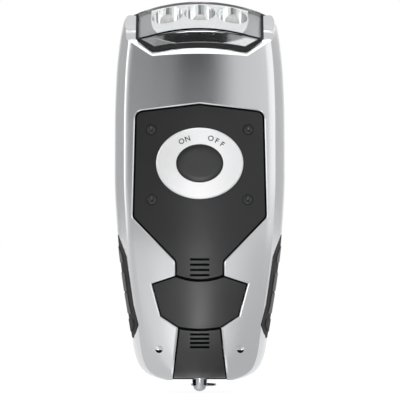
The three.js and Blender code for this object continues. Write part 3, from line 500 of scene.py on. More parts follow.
def below_face(slope, anchor_y, drop, inset, lift=0.0):
    """A tall solid under one of the crown's faces, which lift raises towards both sides."""
    anchor_z = in_mm(sizes().body_length) + drop
    top = anchor_z - inset * math.hypot(1, slope)
    outline = [(-CROWN_REACH, -FAR), (CROWN_REACH, -FAR)]
    for i in range(CROWN_STEPS + 1):
        x = CROWN_REACH * (1 - 2 * i / CROWN_STEPS)
        outline.append((x, top + shoulder_rise(x, lift) - crown_drop(x)))
    face = prism("below_face", outline)
    low = place(0, 0, -FAR).z
    for vertex in face.data.vertices:
        if vertex.co.z > low + MM:
            vertex.co.z += slope * (vertex.co.y - PARTING_Y - anchor_y * MM)
    return face


# Forms made so far, by inset
forms = {}


def body_form(inset):
    """The whole outside as one solid, or one that lies evenly inside it."""
    key = round(inset, 3)
    if key not in forms:
        form = body_stack(f"form_{key}", inset)
        for slope, anchor_y, drop in CROWN_FACES:
            combine(form, below_face(slope, anchor_y, drop, inset), "INTERSECT")
        forms[key] = form
    return forms[key]


def skin(name, outline, outer, inner, near=-FAR, far=0.0):
    """The part of the body's skin behind an outline, from one inset to another."""
    piece = prism(name, outline, near, far)
    combine(piece, body_form(outer), "INTERSECT", keep=True)
    combine(piece, body_form(inner), "DIFFERENCE", keep=True)
    return piece


def crown_drop(x):
    return CROWN_RADIUS - math.sqrt(CROWN_RADIUS ** 2 - x * x)


def shoulder_rise(x, lift):
    return lift * max(0, min(1, (abs(x) - WINDOW_HALF) / SHOULDER_WIDTH))


def skin_depth(x, z, lift=0.0):
    """Where the skin of the button side lies behind a point of the front view."""
    length = in_mm(sizes().body_length)
    cuts = [
        anchor_y + (z - length - drop + crown_drop(x) - shoulder_rise(x, lift)) / slope
        for slope, anchor_y, drop in CROWN_FACES if slope > 0
    ]
    return max(section_depth(x, z), *cuts)


def section_depth(x, z):
    """The same for the body's sections, before the crown's faces cut them."""
    share = min(max(z / in_mm(sizes().body_length), 0), SECTION_SHARES[-1][0])
    wide, fore, _ = eased(SECTION_SHARES, share)
    across = min(abs(x) / (wide * in_mm(sizes().body_width) / 2), FRONT_REACH)
    points = [point for point in section_points() if point[1] < 0]
    for (low, near), (high, far) in zip(points, points[1:]):
        if across <= high:
            along = near + (far - near) * (across - low) / (high - low)
            return along * fore * in_mm(sizes().front_depth)
    raise ValueError("a point lies beside the skin")


def dense(outline, counts):
    """The same closed outline with each edge cut into its count of equal parts."""
    result = []
    for start, end, parts in zip(outline, outline[1:] + outline[:1], counts):
        result += [tuple(Vector(start).lerp(Vector(end), i / parts)) for i in range(parts)]
    return result


def edge_slope(name, high, low, depth, base=0.0, lift=0.0):
    """A cutter that slopes an edge, from the surface on its high line to a depth on its low line.

    Both lines have the same number of points, because the slope joins them one by one.
    """
    edges = zip(high, high[1:] + high[:1])
    counts = [max(1, round(math.dist(start, end) / SLOPE_STEP)) for start, end in edges]
    high, low = dense(high, counts), dense(low, counts)
    count = len(high)
    nothing_selected()
    bpy.ops.mesh.primitive_circle_add(vertices=count, radius=MM, fill_type="NOTHING")
    piece = new_piece(name)
    edit(piece)
    for _ in range(3):
        bpy.ops.mesh.extrude_region_move(TRANSFORM_OT_translate={"value": (0, 0, MM)})
    bpy.ops.mesh.select_mode(type="EDGE")
    bpy.ops.mesh.select_all(action="DESELECT")
    leave_edit()
    level = [round(vertex.co.z / MM) for vertex in piece.data.vertices]
    for line in piece.data.edges:
        ends = {level[index] for index in line.vertices}
        line.select = ends in ({0}, {3})
    bpy.ops.object.mode_set(mode="EDIT")
    bpy.ops.mesh.bridge_edge_loops()
    bpy.ops.mesh.select_mode(type="VERT")
    leave_edit()
    for vertex in piece.data.vertices:
        here = level[vertex.index]
        x, z = (high if here < 2 else low)[vertex.index % count]
        near = skin_depth(x, z, lift) + base + (-CLEAR_OF_SKIN, 0, depth, -CLEAR_OF_SKIN)[here]
        vertex.co = place(x, near, z)
    outward(piece)
    return piece


# Outlines of the openings in the front

# How far past the body the open outlines and cutters go
PAST_BODY = 12
# Half width and sag of the edge between panel and shield, and of the one between shield and strip
NECK_HALF, NECK_SAG = 8.1, -1.6
STRIP_HALF, STRIP_SAG = 7.1, -0.7


def window_outline():
    """Edge of the silver shell round the gasket."""
    top = in_mm(sizes().body_length) + PAST_BODY
    side = [(WINDOW_HALF, z) for z in (top, 124, 120.5, 115.7)]
    return [*side, *arch(15.7, 111.4, 1.5), *flipped(side)]


def rim_outline():
    """Where the slope round the window begins, with as many points as the window's edge."""
    top = in_mm(sizes().body_length) + PAST_BODY
    side = [(25.6, top), (25.6, 124), (25.6, 120.5), (24.8, 115.6)]
    return [*side, *arch(16.2, 109.9, 0.8), *flipped(side)]


def lens_outline():
    top = in_mm(sizes().body_length) + PAST_BODY
    side = [(20.8, top), (20.8, 116.1)]
    return [*side, *arch(15.3, 113.1, 1.5), *flipped(side)]


def panel_outline():
    """The control panel with its shoulders and its neck, which ends in a shallow sag."""
    neck = (NECK_HALF, 35.7)
    corners = mirrored([(0, 93.6), (21.6, 91), (22.5, 55.4), (NECK_HALF, 40.5), neck])
    outline = rounded(corners, [1.5, 2.6, 1.5, 2.4, 0, 0, 2.4, 1.5, 2.6])
    low = min(range(len(outline)), key=lambda i: math.dist(outline[i], neck)) + 1
    return outline[:low] + arched(NECK_HALF, -NECK_HALF, neck[1], NECK_SAG) + outline[low:]


def shield_outline():
    right = [(NECK_HALF, 35.4), (16.1, 32.7), (13.2, 22)]
    top = arched(-NECK_HALF, NECK_HALF, 35.4, NECK_SAG)
    return [*right, *arch(7.2, 18.1, STRIP_SAG), *flipped(right), *top]


def strip_outline():
    right = [(STRIP_HALF, 17.8), (9, 0), (9, -PAST_BODY)]
    return [*right, *flipped(right), *arched(-STRIP_HALF, STRIP_HALF, 17.8, STRIP_SAG)]


def plateau_outline():
    """The raised field of the reflector round the cups."""
    side = [(16.3, ABOVE), (16.3, 121), (15.6, 118.6)]
    return [*side, *arch(14.2, 117, 1.5), *flipped(side)]


def grip_outline(side, growth=0.0):
    half = in_mm(sizes().body_width) / 2
    outer = half + PAST_BODY
    points = [(outer, 49.4), (half - 1.2, 49.4), (half - 4.05, 42.2), (half - 6.4, 25.8),
              (half - 8.2, 18.9), (half - 6.6, 14.4), (outer, 14.4)]
    outline = rounded([(side * x, z) for x, z in points], [0, 0, 2, 2, 0.8, 0.3, 0])
    return grown(outline, growth) if growth else outline


# Gaps of a loose fit and of a close one
FIT_GAP = 0.3
SEAT_GAP = 0.15
# The grips: how far they reach behind the parting line, and their depth
GRIP_BACK = 9
GRIP_DEPTH = 1.1
# Radius and end of the stud's bore in the casing
STUD_BORE, BORE_END = 2.75, 8


def grip_pocket(side):
    pocket = prism("pocket", grip_outline(side, SEAT_GAP), -FAR, GRIP_BACK + SEAT_GAP)
    combine(pocket, body_form(GRIP_DEPTH + SEAT_GAP), "DIFFERENCE", keep=True)
    return pocket


def stud_bore():
    return rod("stud_bore", (0, 0, -PAST_BODY), (0, 0, BORE_END), STUD_BORE)


# Finishes


def linear(code):
    """An sRGB hex value, or three sRGB shares, as linear red, green, blue and alpha."""
    shares = [int(code[i:i + 2], 16) / 255 for i in (1, 3, 5)] if isinstance(code, str) else list(code)
    return tuple(c / 12.92 if c <= 0.04045 else ((c + 0.055) / 1.055) ** 2.4 for c in shares) + (1,)


def add_node(tree, kind, links=None, values=None, **settings):
    """Adds a node with its settings, its socket values and the sockets that feed it."""
    node = tree.nodes.new(kind)
    for name, value in settings.items():
        setattr(node, name, value)
    for socket, value in (values or {}).items():
        node.inputs[socket].default_value = value
    for socket, source in (links or {}).items():
        tree.links.new(source, node.inputs[socket])
    return node


def empty_tree(item):
    """Gives a material or a world a node tree without nodes."""
    item.use_nodes = True
    item.node_tree.nodes.clear()
    return item.node_tree


# Finishes made so far, by name
materials = {}


def finish(name, colour, roughness, grain_mm, bump_mm, spread=0.06, patch_mm=14, streak=None, **shader):
    """A finish with a grain, a slow drift of tone, and roughness that follows both.

    The grain has its real size in millimetres where it is coarse, as the mould's ripples, the glass
    cloth and the winding are. Flakes, eroded texture, grit and turning marks are finer than a pixel
    of the picture, which is a third of a millimetre, so they are drawn about that coarse to show.
    """
    if name in materials:
        return materials[name]
    material = bpy.data.materials.new(name)
    tree = empty_tree(material)
    where = add_node(tree, "ShaderNodeTexCoord")
    vector = where.outputs["Object"]
    if streak:
        vector = add_node(tree, "ShaderNodeMapping", {"Vector": vector}, {"Scale": streak}).outputs["Vector"]
    grain = add_node(tree, "ShaderNodeTexNoise", {"Vector": vector},
                     {"Scale": 1 / (grain_mm * MM), "Detail": 2.0, "Roughness": 0.6})
    patches = add_node(tree, "ShaderNodeTexNoise", {"Vector": where.outputs["Object"]},
                       {"Scale": 1 / (patch_mm * MM), "Detail": 3.0})
    both = add_node(tree, "ShaderNodeMix", {"A": grain.outputs["Fac"], "B": patches.outputs["Fac"]},
                    {"Factor": 0.45}, data_type="FLOAT")
    base = linear(colour)
    dark = tuple(c * (1 - spread) for c in base[:3]) + (1,)
    light = tuple(min(1, c * (1 + spread)) for c in base[:3]) + (1,)
    tone = add_node(tree, "ShaderNodeValToRGB", {"Fac": both.outputs["Result"]})
    for element, position, shade in zip(tone.color_ramp.elements, (0.35, 0.65), (dark, light)):
        element.position = position
        element.color = shade
    rough = add_node(tree, "ShaderNodeMapRange", {"Value": both.outputs["Result"]},
                     {"From Min": 0.3, "From Max": 0.7, "To Min": roughness * (1 - spread),
                      "To Max": roughness * (1 + spread)})
    bump = add_node(tree, "ShaderNodeBump", {"Height": grain.outputs["Fac"]},
                    {"Strength": 0.6, "Distance": bump_mm * MM})
    principled = add_node(tree, "ShaderNodeBsdfPrincipled",
                          {"Base Color": tone.outputs["Color"], "Roughness": rough.outputs["Result"],
                           "Normal": bump.outputs["Normal"]}, shader)
    add_node(tree, "ShaderNodeOutputMaterial", {"Surface": principled.outputs["BSDF"]})
    materials[name] = material
    return material


def silver_paint():
    """Metallic lacquer sprayed on ABS: fine flakes that sparkle a little, under a thin clear coat."""
    return finish(
        "satin_metallic_paint", colours().silver_paint, roughness=0.2, grain_mm=0.5, bump_mm=0.0003,
        spread=0.012, patch_mm=30, **{"Metallic": 0.95, "Coat Weight": 0.15, "Coat Roughness": 0.15}
    )


def charcoal_abs():
    """ABS from a mould with a faint brushed texture that runs across the torch."""
    return finish(
        "brushed_charcoal_abs", colours().charcoal, roughness=0.3, grain_mm=0.9, bump_mm=0.004,
        spread=0.08, patch_mm=18, streak=(0.12, 1, 1.6), **{"Specular IOR Level": 0.42}
    )


def textured_charcoal():
    """The same ABS from a coarser spark-eroded mould: the even, dull texture of the rear shell."""
    return finish(
        "textured_charcoal_abs", "#343437", roughness=0.5, grain_mm=0.45, bump_mm=0.02, spread=0.08,
        patch_mm=18, **{"Specular IOR Level": 0.45}
    )


def polished_black():
    """ABS from a polished mould: the crank arm and knob shine from use."""
    return finish(
        "polished_black_abs", "#17171a", roughness=0.17, grain_mm=1.5, bump_mm=0.002, spread=0.06,
        patch_mm=10
    )


def black_abs():
    """ABS from a fine spark-eroded mould: an even dull grain."""
    return finish(
        "grained_black_abs", colours().black, roughness=0.3, grain_mm=0.35, bump_mm=0.004, spread=0.08,
        patch_mm=18, **{"Specular IOR Level": 0.4}
    )


def black_rubber():
    """Moulded rubber: matt, with a coarse grain and a little bloom."""
    return finish(
        "moulded_rubber", colours().rubber, roughness=0.68, grain_mm=0.5, bump_mm=0.02, spread=0.12,
        patch_mm=9, **{"Sheen Weight": 0.15, "Sheen Roughness": 0.5}
    )


def painted_shade_rubber():
    """A darker, rougher copy of the rubber: painted shade for the grips' flange and lower end."""
    return finish(
        "painted_shade_rubber", "#151516", roughness=0.8, grain_mm=0.4, bump_mm=0.01, spread=0.1, patch_mm=9,
        **{"Specular IOR Level": 0.35}
    )


def button_rubber():
    """Silicone rubber with a smooth face, a shade lighter than the gap round it."""
    return finish(
        "silicone_button", "#2b2b2c", roughness=0.42, grain_mm=0.4, bump_mm=0.006, spread=0.06,
        patch_mm=9, **{"Specular IOR Level": 0.4}
    )


def silver_foil():
    """Hot-stamped silver foil: bright, with a fine even grain."""
    return finish(
        "grained_silver_foil", "#e4e4e5", roughness=0.38, grain_mm=0.3, bump_mm=0.006, spread=0.05,
        patch_mm=12, **{"Metallic": 0.55}
    )


def printing_ink():
    """Pad-printed ink, dull and dark."""
    return finish(
        "printed_ink", "#3a3a3c", roughness=0.6, grain_mm=0.2, bump_mm=0.002, spread=0.05, patch_mm=5
    )


def bright_plating():
    """Vacuum-metallised plastic: a mirror with slight ripples from the mould."""
    return finish(
        "metallised_plastic", "#e8e9ea", roughness=0.07, grain_mm=2.2, bump_mm=0.01, spread=0.02,
        patch_mm=10, **{"Metallic": 1.0}
    )


def dull_plating():
    """The same plating over a finely blasted flange: grey and soft."""
    return finish(
        "blasted_metallised_plastic", "#8e9093", roughness=0.32, grain_mm=0.5, bump_mm=0.01,
        spread=0.08, patch_mm=4, **{"Metallic": 1.0}
    )


def chrome():
    """Chromium plate on turned steel: a clear mirror with faint turning marks."""
    return finish(
        "chromium_plate", "#a4a6a9", roughness=0.09, grain_mm=0.5, bump_mm=0.002, spread=0.02,
        patch_mm=8, streak=(0.2, 0.2, 3), **{"Metallic": 1.0}
    )


def drawn_steel():
    """Zinc-plated drawn steel, slightly dull and streaked along its length."""
    return finish(
        "zinc_plated_steel", "#b9bbbd", roughness=0.3, grain_mm=0.6, bump_mm=0.004, spread=0.08,
        patch_mm=7, **{"Metallic": 1.0}
    )


def turned_brass():
    """Free-cutting brass with a fine turned surface."""
    return finish(
        "turned_brass", "#c2a15a", roughness=0.28, grain_mm=0.4, bump_mm=0.003, spread=0.06, patch_mm=6,
        **{"Metallic": 1.0}
    )


def natural_acetal():
    """Natural acetal gears: milky, waxy and smooth."""
    return finish(
        "natural_acetal", "#e6e2d6", roughness=0.42, grain_mm=0.6, bump_mm=0.004, spread=0.03,
        patch_mm=8,
        **{"Subsurface Weight": 0.1, "Subsurface Scale": 0.001, "Subsurface Radius": (1, 1, 1)}
    )


def ferrite():
    """Pressed and fired ferrite: dark, dense and faintly gritty."""
    return finish(
        "pressed_ferrite", "#454548", roughness=0.55, grain_mm=0.25, bump_mm=0.01, spread=0.1,
        patch_mm=4, **{"Metallic": 0.2}
    )


def enamelled_copper():
    """Enamelled winding wire, one turn next to the other."""
    return finish(
        "enamelled_copper", "#a95f35", roughness=0.3, grain_mm=0.5, bump_mm=0.03, spread=0.12,
        patch_mm=5, streak=(0.3, 3, 0.3), **{"Metallic": 0.9}
    )


def solder_mask():
    """Green solder mask over glass cloth."""
    return finish(
        "solder_mask", "#1f5b3a", roughness=0.35, grain_mm=0.7, bump_mm=0.005, spread=0.1, patch_mm=5
    )


def shrink_film():
    """Printed shrink film on the cells, smooth and glossy."""
    return finish(
        "shrink_film", "#3c6b52", roughness=0.3, grain_mm=1.2, bump_mm=0.006, spread=0.06, patch_mm=6
    )


def gasket_rubber():
    """Soft black seal, matt and almost without reflection."""
    return finish(
        "seal_rubber", "#141414", roughness=0.75, grain_mm=0.4, bump_mm=0.01, spread=0.1, patch_mm=6
    )


def shadow_black():
    """Painted shade: a near-black for the gaps, grooves and dents, where hardly any light comes back out."""
    return finish(
        "painted_shade_black", "#0c0c0d", roughness=0.8, grain_mm=0.4, bump_mm=0.004, spread=0.1, patch_mm=6,
        **{"Specular IOR Level": 0.1}
    )


def clear_lens():
    """Clear polycarbonate from a polished mould: colourless, with very faint ripples."""
    return finish(
        "clear_polycarbonate", "#fbfcfc", roughness=0.03, grain_mm=6, bump_mm=0.004, spread=0.0,
        patch_mm=12, **{"Transmission Weight": 1.0, "IOR": 1.45}
    )


def led_epoxy():
    """Water-clear epoxy of a white LED, milky over its phosphor."""
    return finish(
        "led_epoxy", "#f8f8f5", roughness=0.12, grain_mm=1.5, bump_mm=0.004, spread=0.02, patch_mm=4,
        **{"IOR": 1.5, "Subsurface Weight": 0.3, "Subsurface Scale": 0.001, "Subsurface Radius": (1, 1, 1)}
    )


def dress(piece, material):
    piece.data.materials.clear()
    piece.data.materials.append(material)


def paint_edge_shade(piece, inset):
    """Paints shade: a moulding's sloped edges and grooves, off its face, get a near-black."""
    piece.data.materials.append(shadow_black())
    face_of = body_form(inset)
    for face in piece.data.polygons:
        _, near, _, _ = face_of.closest_point_on_mesh(face.center)
        face.material_index = int((near - face.center).length > TOUCHING * MM)


def finished(piece, material, slot, *nodes, body="casing", degrees=28):
    """Shades and dresses a piece, puts it on its body, and hides the CAD nodes that it stands for."""
    crisp(piece, degrees)
    dress(piece, material)
    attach(piece, body)
    if nodes:
        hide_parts(*nodes)


class FlashlightOperator:
    bl_options = {"REGISTER", "UNDO"}


# The slope round the window: how far it goes past the window's edge, and its depth
RIM_PAST, RIM_DEPTH = 0.4, 1.5
# The dents beside the strip, which balls press. A face this near to a ball lies on it, and one this
# far below its middle lies in its shade.
DENT_X, DENT_Z, DENT_RADIUS, DENT_DEPTH = 14.1, 10.4, 2, 0.45
DENT_NEAR = 0.05


class FLASHLIGHT_OT_front_casing(FlashlightOperator, bpy.types.Operator):
    """Moulds the silver front shell with its sloped window rim and its chamfered openings"""

    bl_idname = "flashlight.front_casing"
    bl_label = "Front casing"

    def execute(self, context):
        chamfer = in_mm(sizes().edge_chamfer)
        shell = skin("silver_front_shell", whole_view(), 0, in_mm(sizes().casing_wall))
        cut(shell, prism("window", window_outline(), -FAR, 1))
        combine(shell, self.shoulders(), "UNION")
        inside = grown(window_outline(), -RIM_PAST)
        cut(shell, edge_slope("rim_slope", rim_outline(), inside, RIM_DEPTH, 0, SHOULDER_LIFT))
        # The openings, each with its chamfer's width and depth
        for line, width, depth in (
            (panel_outline(), chamfer, 0.5),
            (shield_outline(), chamfer, 0.6),
            (strip_outline(), 1.6 * chamfer, 0.7),
        ):
            cut(shell, prism("opening", grown(line, FIT_GAP), -FAR, 1))
            cut(shell, edge_slope("chamfer", grown(line, FIT_GAP + width), grown(line, 0), depth))
        cut(shell, grip_pocket(-1), grip_pocket(1), stud_bore())
        for side in (-1, 1):
            cut(shell, ball("dent", self.dent_centre(side), DENT_RADIUS, 64))
        finished(shell, silver_paint(), "silver_paint", "front_casing", degrees=22)
        self.shade_dents(shell)
        return {"FINISHED"}

    def dent_centre(self, side):
        """Centre of the ball that presses a dent."""
        return side * DENT_X, skin_depth(DENT_X, DENT_Z) - DENT_RADIUS + DENT_DEPTH, DENT_Z

    def shade_dents(self, shell):
        """Paints shade on the lower half of each dent, a near-black."""
        shell.data.materials.append(shadow_black())
        near = DENT_NEAR * MM
        for side in (-1, 1):
            centre = place(*self.dent_centre(side))
            for face in shell.data.polygons:
                offset = face.center - centre
                if abs(offset.length - DENT_RADIUS * MM) < near and offset.z < -near:
                    face.material_index = 1

    def shoulders(self):
        """The two ends of the silver frame, which stand a little above the lens."""
        frame_ends = body_stack("shoulders", SHOULDER_INSET)
        for slope, anchor_y, drop, lift in SHOULDER_FACES:
            combine(frame_ends, below_face(slope, anchor_y, drop, 0, lift), "INTERSECT")
        front = prism("front", rectangle(-FAR, SHOULDER_FOOT, FAR, ABOVE), -FAR, 0)
        combine(frame_ends, front, "INTERSECT")
        cut(frame_ends, prism("between", rectangle(-WINDOW_HALF, 0, WINDOW_HALF, ABOVE)))
        combine(frame_ends, body_form(SHOULDER_WALL), "DIFFERENCE", keep=True)
        return frame_ends


# The crank's axis, the collar round it, and the bore for its shaft
CRANK_Z = 45
COLLAR_RADIUS, COLLAR_HEIGHT, COLLAR_EDGE = 9.5, 1, 0.4
CRANK_BORE = 2.62
# Casing screws: across, up, and the back of the head. Then the holes' radius and the heads' height
CASING_SCREWS = [(20.6, 101, 12.6), (17.6, 8, 10.3)]
SCREW_HOLE, HEAD_HEIGHT = 2.4, 1.65
# Grooves of the back: middle, half width and half height, then their corners and their depth
BACK_GROOVES = [(-17, 62, 0.5, 31), (17, 62, 0.5, 31), *[(0, 14 + 2.6 * i, 8.5, 0.55) for i in range(5)]]
BACK_ROUND, BACK_DEPTH = 0.45, 0.55


class FLASHLIGHT_OT_rear_casing(FlashlightOperator, bpy.types.Operator):
    """Moulds the charcoal rear shell with its crank collar and screw holes"""

    bl_idname = "flashlight.rear_casing"
    bl_label = "Rear casing"

    def execute(self, context):
        wall = in_mm(sizes().casing_wall)
        back = in_mm(sizes().back_depth)
        shell = skin("charcoal_rear_shell", whole_view(), 0, wall, FIT_GAP, FAR)
        foot, top = (0, back - wall, CRANK_Z), (0, back + COLLAR_HEIGHT, CRANK_Z)
        collar = rod("collar", foot, top, COLLAR_RADIUS, 64)
        apply_modifier(collar, "BEVEL", width=COLLAR_EDGE * MM, segments=3, limit_method="ANGLE")
        combine(shell, collar, "UNION")
        cut(shell, rod("bore", (0, 0, CRANK_Z), (0, FAR, CRANK_Z), CRANK_BORE, 48), stud_bore())
        for x, z, head in CASING_SCREWS:
            for side in (-1, 1):
                foot, top = (side * x, head - HEAD_HEIGHT, z), (side * x, FAR, z)
                cut(shell, rod("screw_hole", foot, top, SCREW_HOLE))
        cut(shell, grip_pocket(-1), grip_pocket(1))
        for groove in BACK_GROOVES:
            line = rounded(bar(*groove), [BACK_ROUND] * 4, 4)
            cut(shell, prism("style_groove", line, back - BACK_DEPTH, FAR))
        finished(shell, textured_charcoal(), "charcoal_abs", "rear_casing")
        return {"FINISHED"}


# The lip behind a moulding: past its outline, behind its face, and short of its back
LIP_PAST, LIP_FRONT, LIP_SHORT = 0.1, 1, 0.05
# The slope at a moulding's edge ends this far past its outline
EDGE_PAST = 0.25
# The grooves in panel and strip: half width, half height, corners and depth
GROOVE_HALF_X, GROOVE_HALF_Z, GROOVE_ROUND, GROOVE_DEPTH = 3.3, 0.4, 0.3, 0.9


def lipped(name, outline, recess, near=-FAR, far=0.0):
    """A moulding in an opening, with a thin lip all round that closes the gap from behind."""
    thickness = in_mm(sizes().panel_thickness)
    piece = skin(name, grown(outline, -SEAT_GAP), recess, recess + thickness, near, far)
    lip_back = recess + thickness - LIP_SHORT
    lip = skin("lip", grown(outline, LIP_PAST), recess + LIP_FRONT, lip_back, near, far)
    combine(piece, lip, "UNION")
    return piece


def slope_edge(piece, outline, width, depth, recess):
    """Slopes a moulding's edge down to the joint round it."""
    high, low = grown(outline, -width), grown(outline, EDGE_PAST)
    cut(piece, edge_slope("edge_slope", high, low, depth, recess))


def grooves(top, pitch, recess):
    """Four short grooves, cut to one depth under the face of a moulding."""
    tools = []
    for i in range(4):
        slot = bar(0, top - i * pitch, GROOVE_HALF_X, GROOVE_HALF_Z)
        groove = prism("groove", rounded(slot, [GROOVE_ROUND] * 4, 3), -FAR, 0)
        combine(groove, body_form(recess + GROOVE_DEPTH), "DIFFERENCE", keep=True)
        tools.append(groove)
    return tools


# Against the panel's face: the seats of ring and pins, the ring's front and back, the button's front
SEAT_DEPTH = 0.95
RING_PROUD, RING_ROOT = 0.15, 0.8
BUTTON_SUNK = 0.2
# Pins in the panel: across, up and row. Then their radii, the depth of the head, and the ball that
# dishes it, whose centre lies in front of the face
PINS = [(16.4, 85, "upper"), (16.2, 61.3, "lower")]
PIN_SEAT, PIN_HEAD, PIN_HOLE, PIN_SHANK = 1.8, 1.6, 1.12, 1
PIN_HEAD_DEPTH = 0.8
DISH_RADIUS, DISH_AHEAD = 1.9, 1.35


class FLASHLIGHT_OT_control_panel(FlashlightOperator, bpy.types.Operator):
    """Moulds the black control panel with its button hole, ring seat, pin seats and grooves"""

    bl_idname = "flashlight.control_panel"
    bl_label = "Control panel"

    def execute(self, context):
        recess = in_mm(sizes().panel_recess)
        panel = lipped("grained_control_panel", panel_outline(), recess)
        seat = prism("ring_seat", oval(RING_SEAT))
        combine(seat, body_form(recess + SEAT_DEPTH), "DIFFERENCE", keep=True)
        cut(panel, seat, prism("button_hole", oval(BUTTON_HOLE)))
        for x, z, _ in PINS:
            for side in (-1, 1):
                start, end = (side * x, -FAR, z), (side * x, 0, z)
                pin_seat = rod("pin_seat", start, end, PIN_SEAT)
                combine(pin_seat, body_form(recess + SEAT_DEPTH), "DIFFERENCE", keep=True)
                cut(panel, pin_seat, rod("pin_hole", start, end, PIN_HOLE))
        self.pins()
        cut(panel, *grooves(top=41.1, pitch=1.78, recess=recess))
        slope_edge(panel, panel_outline(), width=0.4, depth=0.75, recess=recess)
        finished(panel, black_abs(), "black_abs", "control_panel")
        # The panel's edge slopes and grooves get painted shade
        paint_edge_shade(panel, recess)
        return {"FINISHED"}

    def pins(self):
        """Four press-in pins, each with a dished face."""
        recess = in_mm(sizes().panel_recess)
        for x, z, row in PINS:
            face = skin_depth(x, z) + recess
            shoulder = face + PIN_HEAD_DEPTH
            for side, name in ((-1, "left"), (1, "right")):
                node = f"panel_pin_{row}_{name}"
                across = side * x
                pin = rod(f"dished_{node}", (across, shoulder, z), (across, face, z), PIN_HEAD, 40)
                inside_head = (across, face + PIN_HEAD_DEPTH / 2, z)
                shank = rod("shank", inside_head, (across, far_side(node), z), PIN_SHANK, 24)
                combine(pin, shank, "UNION")
                cut(pin, ball("dish", (across, face - DISH_AHEAD, z), DISH_RADIUS, 40))
                finished(pin, black_abs(), "black_abs", node)


class FLASHLIGHT_OT_shield_and_strip(FlashlightOperator, bpy.types.Operator):
    """Moulds the belly shield and the grooved tail strip"""

    bl_idname = "flashlight.shield_and_strip"
    bl_label = "Belly shield and tail strip"

    def execute(self, context):
        recess = in_mm(sizes().shield_recess)
        shield = lipped("brushed_belly_shield", shield_outline(), recess)
        slope_edge(shield, shield_outline(), width=0.35, depth=0.7, recess=recess)
        finished(shield, charcoal_abs(), "charcoal_abs", "belly_shield")
        # The shield's edge slopes get painted shade
        paint_edge_shade(shield, recess)
        recess = in_mm(sizes().strip_recess)
        strip = lipped("brushed_tail_strip", strip_outline(), recess, -FAR, -FIT_GAP)
        cut(strip, *grooves(top=15.7, pitch=1.45, recess=recess), stud_bore())
        slope_edge(strip, strip_outline(), width=0.35, depth=0.8, recess=recess + 0.1)
        finished(strip, charcoal_abs(), "charcoal_abs", "tail_strip")
        # The strip's edge slopes and grooves get painted shade
        paint_edge_shade(strip, recess)
        return {"FINISHED"}


# Letters: angle from one to the next, height, thickness and boldness
LETTER_STEP, LETTER_SIZE, LETTER_THICK, LETTER_BOLD = 12, 2.5, 0.12, 0.04


class FLASHLIGHT_OT_button(FlashlightOperator, bpy.types.Operator):
    """Makes the silicone button, the foil ring round it and the words on the ring"""

    bl_idname = "flashlight.button"
    bl_label = "Button and its ring"

    def execute(self, context):
        recess = in_mm(sizes().panel_recess)
        ring_face, button_face = recess - RING_PROUD, recess + BUTTON_SUNK
        ring = skin("foil_button_ring", oval(RING), ring_face, recess + RING_ROOT)
        cut(ring, prism("ring_hole", oval(BUTTON_HOLE)))
        high, low = oval(RING, -0.45), oval(RING, 0.3)
        cut(ring, edge_slope("ring_edge", high, low, depth=0.5, base=ring_face))
        finished(ring, silver_foil(), "button_ring", "button_ring")

        button = prism("silicone_button", oval(BUTTON), -FAR, far_side("power_button"))
        combine(button, body_form(button_face), "INTERSECT", keep=True)
        for width, depth in ((0.5, 0.6), (1.3, 0.54)):
            high, low = oval(BUTTON, -width), oval(BUTTON_HOLE)
            cut(button, edge_slope("button_edge", high, low, depth, button_face))
        finished(button, button_rubber(), "black_rubber", "power_button", body="button")

        self.letters("ON", middle_degrees=118, inset=ring_face)
        self.letters("OFF", middle_degrees=58, inset=ring_face)
        return {"FINISHED"}

    def letters(self, word, middle_degrees, inset):
        """Stands each letter on an oval line round the button, on the ring's face."""
        face = body_form(inset)
        half_x, half_z = LETTER_LINE
        for i, sign in enumerate(word):
            turn = math.radians(middle_degrees + LETTER_STEP * ((len(word) - 1) / 2 - i))
            x, z = half_x * math.cos(turn), BUTTON_Z + half_z * math.sin(turn)
            lean = math.atan2(math.cos(turn) / half_x, math.sin(turn) / half_z)
            nothing_selected()
            bpy.ops.object.text_add(location=(0, 0, 0))
            text = bpy.context.object
            text.data.body = sign
            text.data.size = LETTER_SIZE * MM
            text.data.align_x = "CENTER"
            text.data.align_y = "CENTER"
            text.data.extrude = LETTER_THICK * MM
            text.data.offset = LETTER_BOLD * MM
            hit, point, _, _ = face.ray_cast(place(x, -FAR, z), Vector((0, 1, 0)))
            if not hit:
                raise RuntimeError("a letter lies beside the ring")
            upright = Matrix.Rotation(math.radians(90), 4, "X")
            text.matrix_world = Matrix.Translation(point) @ Matrix.Rotation(lean, 4, "Y") @ upright
            bpy.ops.object.convert(target="MESH")
            piece = new_piece(f"printed_letter_{word.lower()}_{i + 1}")
            at_origin(piece)
            finished(piece, printing_ink(), "black_abs")


# The pads on the grips: their ends, how far they lie inside the outline, their front and back, and
# how deep they are rooted. Below the last height the whole grip gets painted shade.
GRIP_PADS = [(39.9, 47), (30.1, 36.4), (22.6, 29.4), (16.4, 20.6)]
PAD_INSIDE = 1.5
PAD_FRONT, PAD_BACK = -15.6, GRIP_BACK - 0.6
PAD_ROOT = 0.6
GRIP_END = 21.9


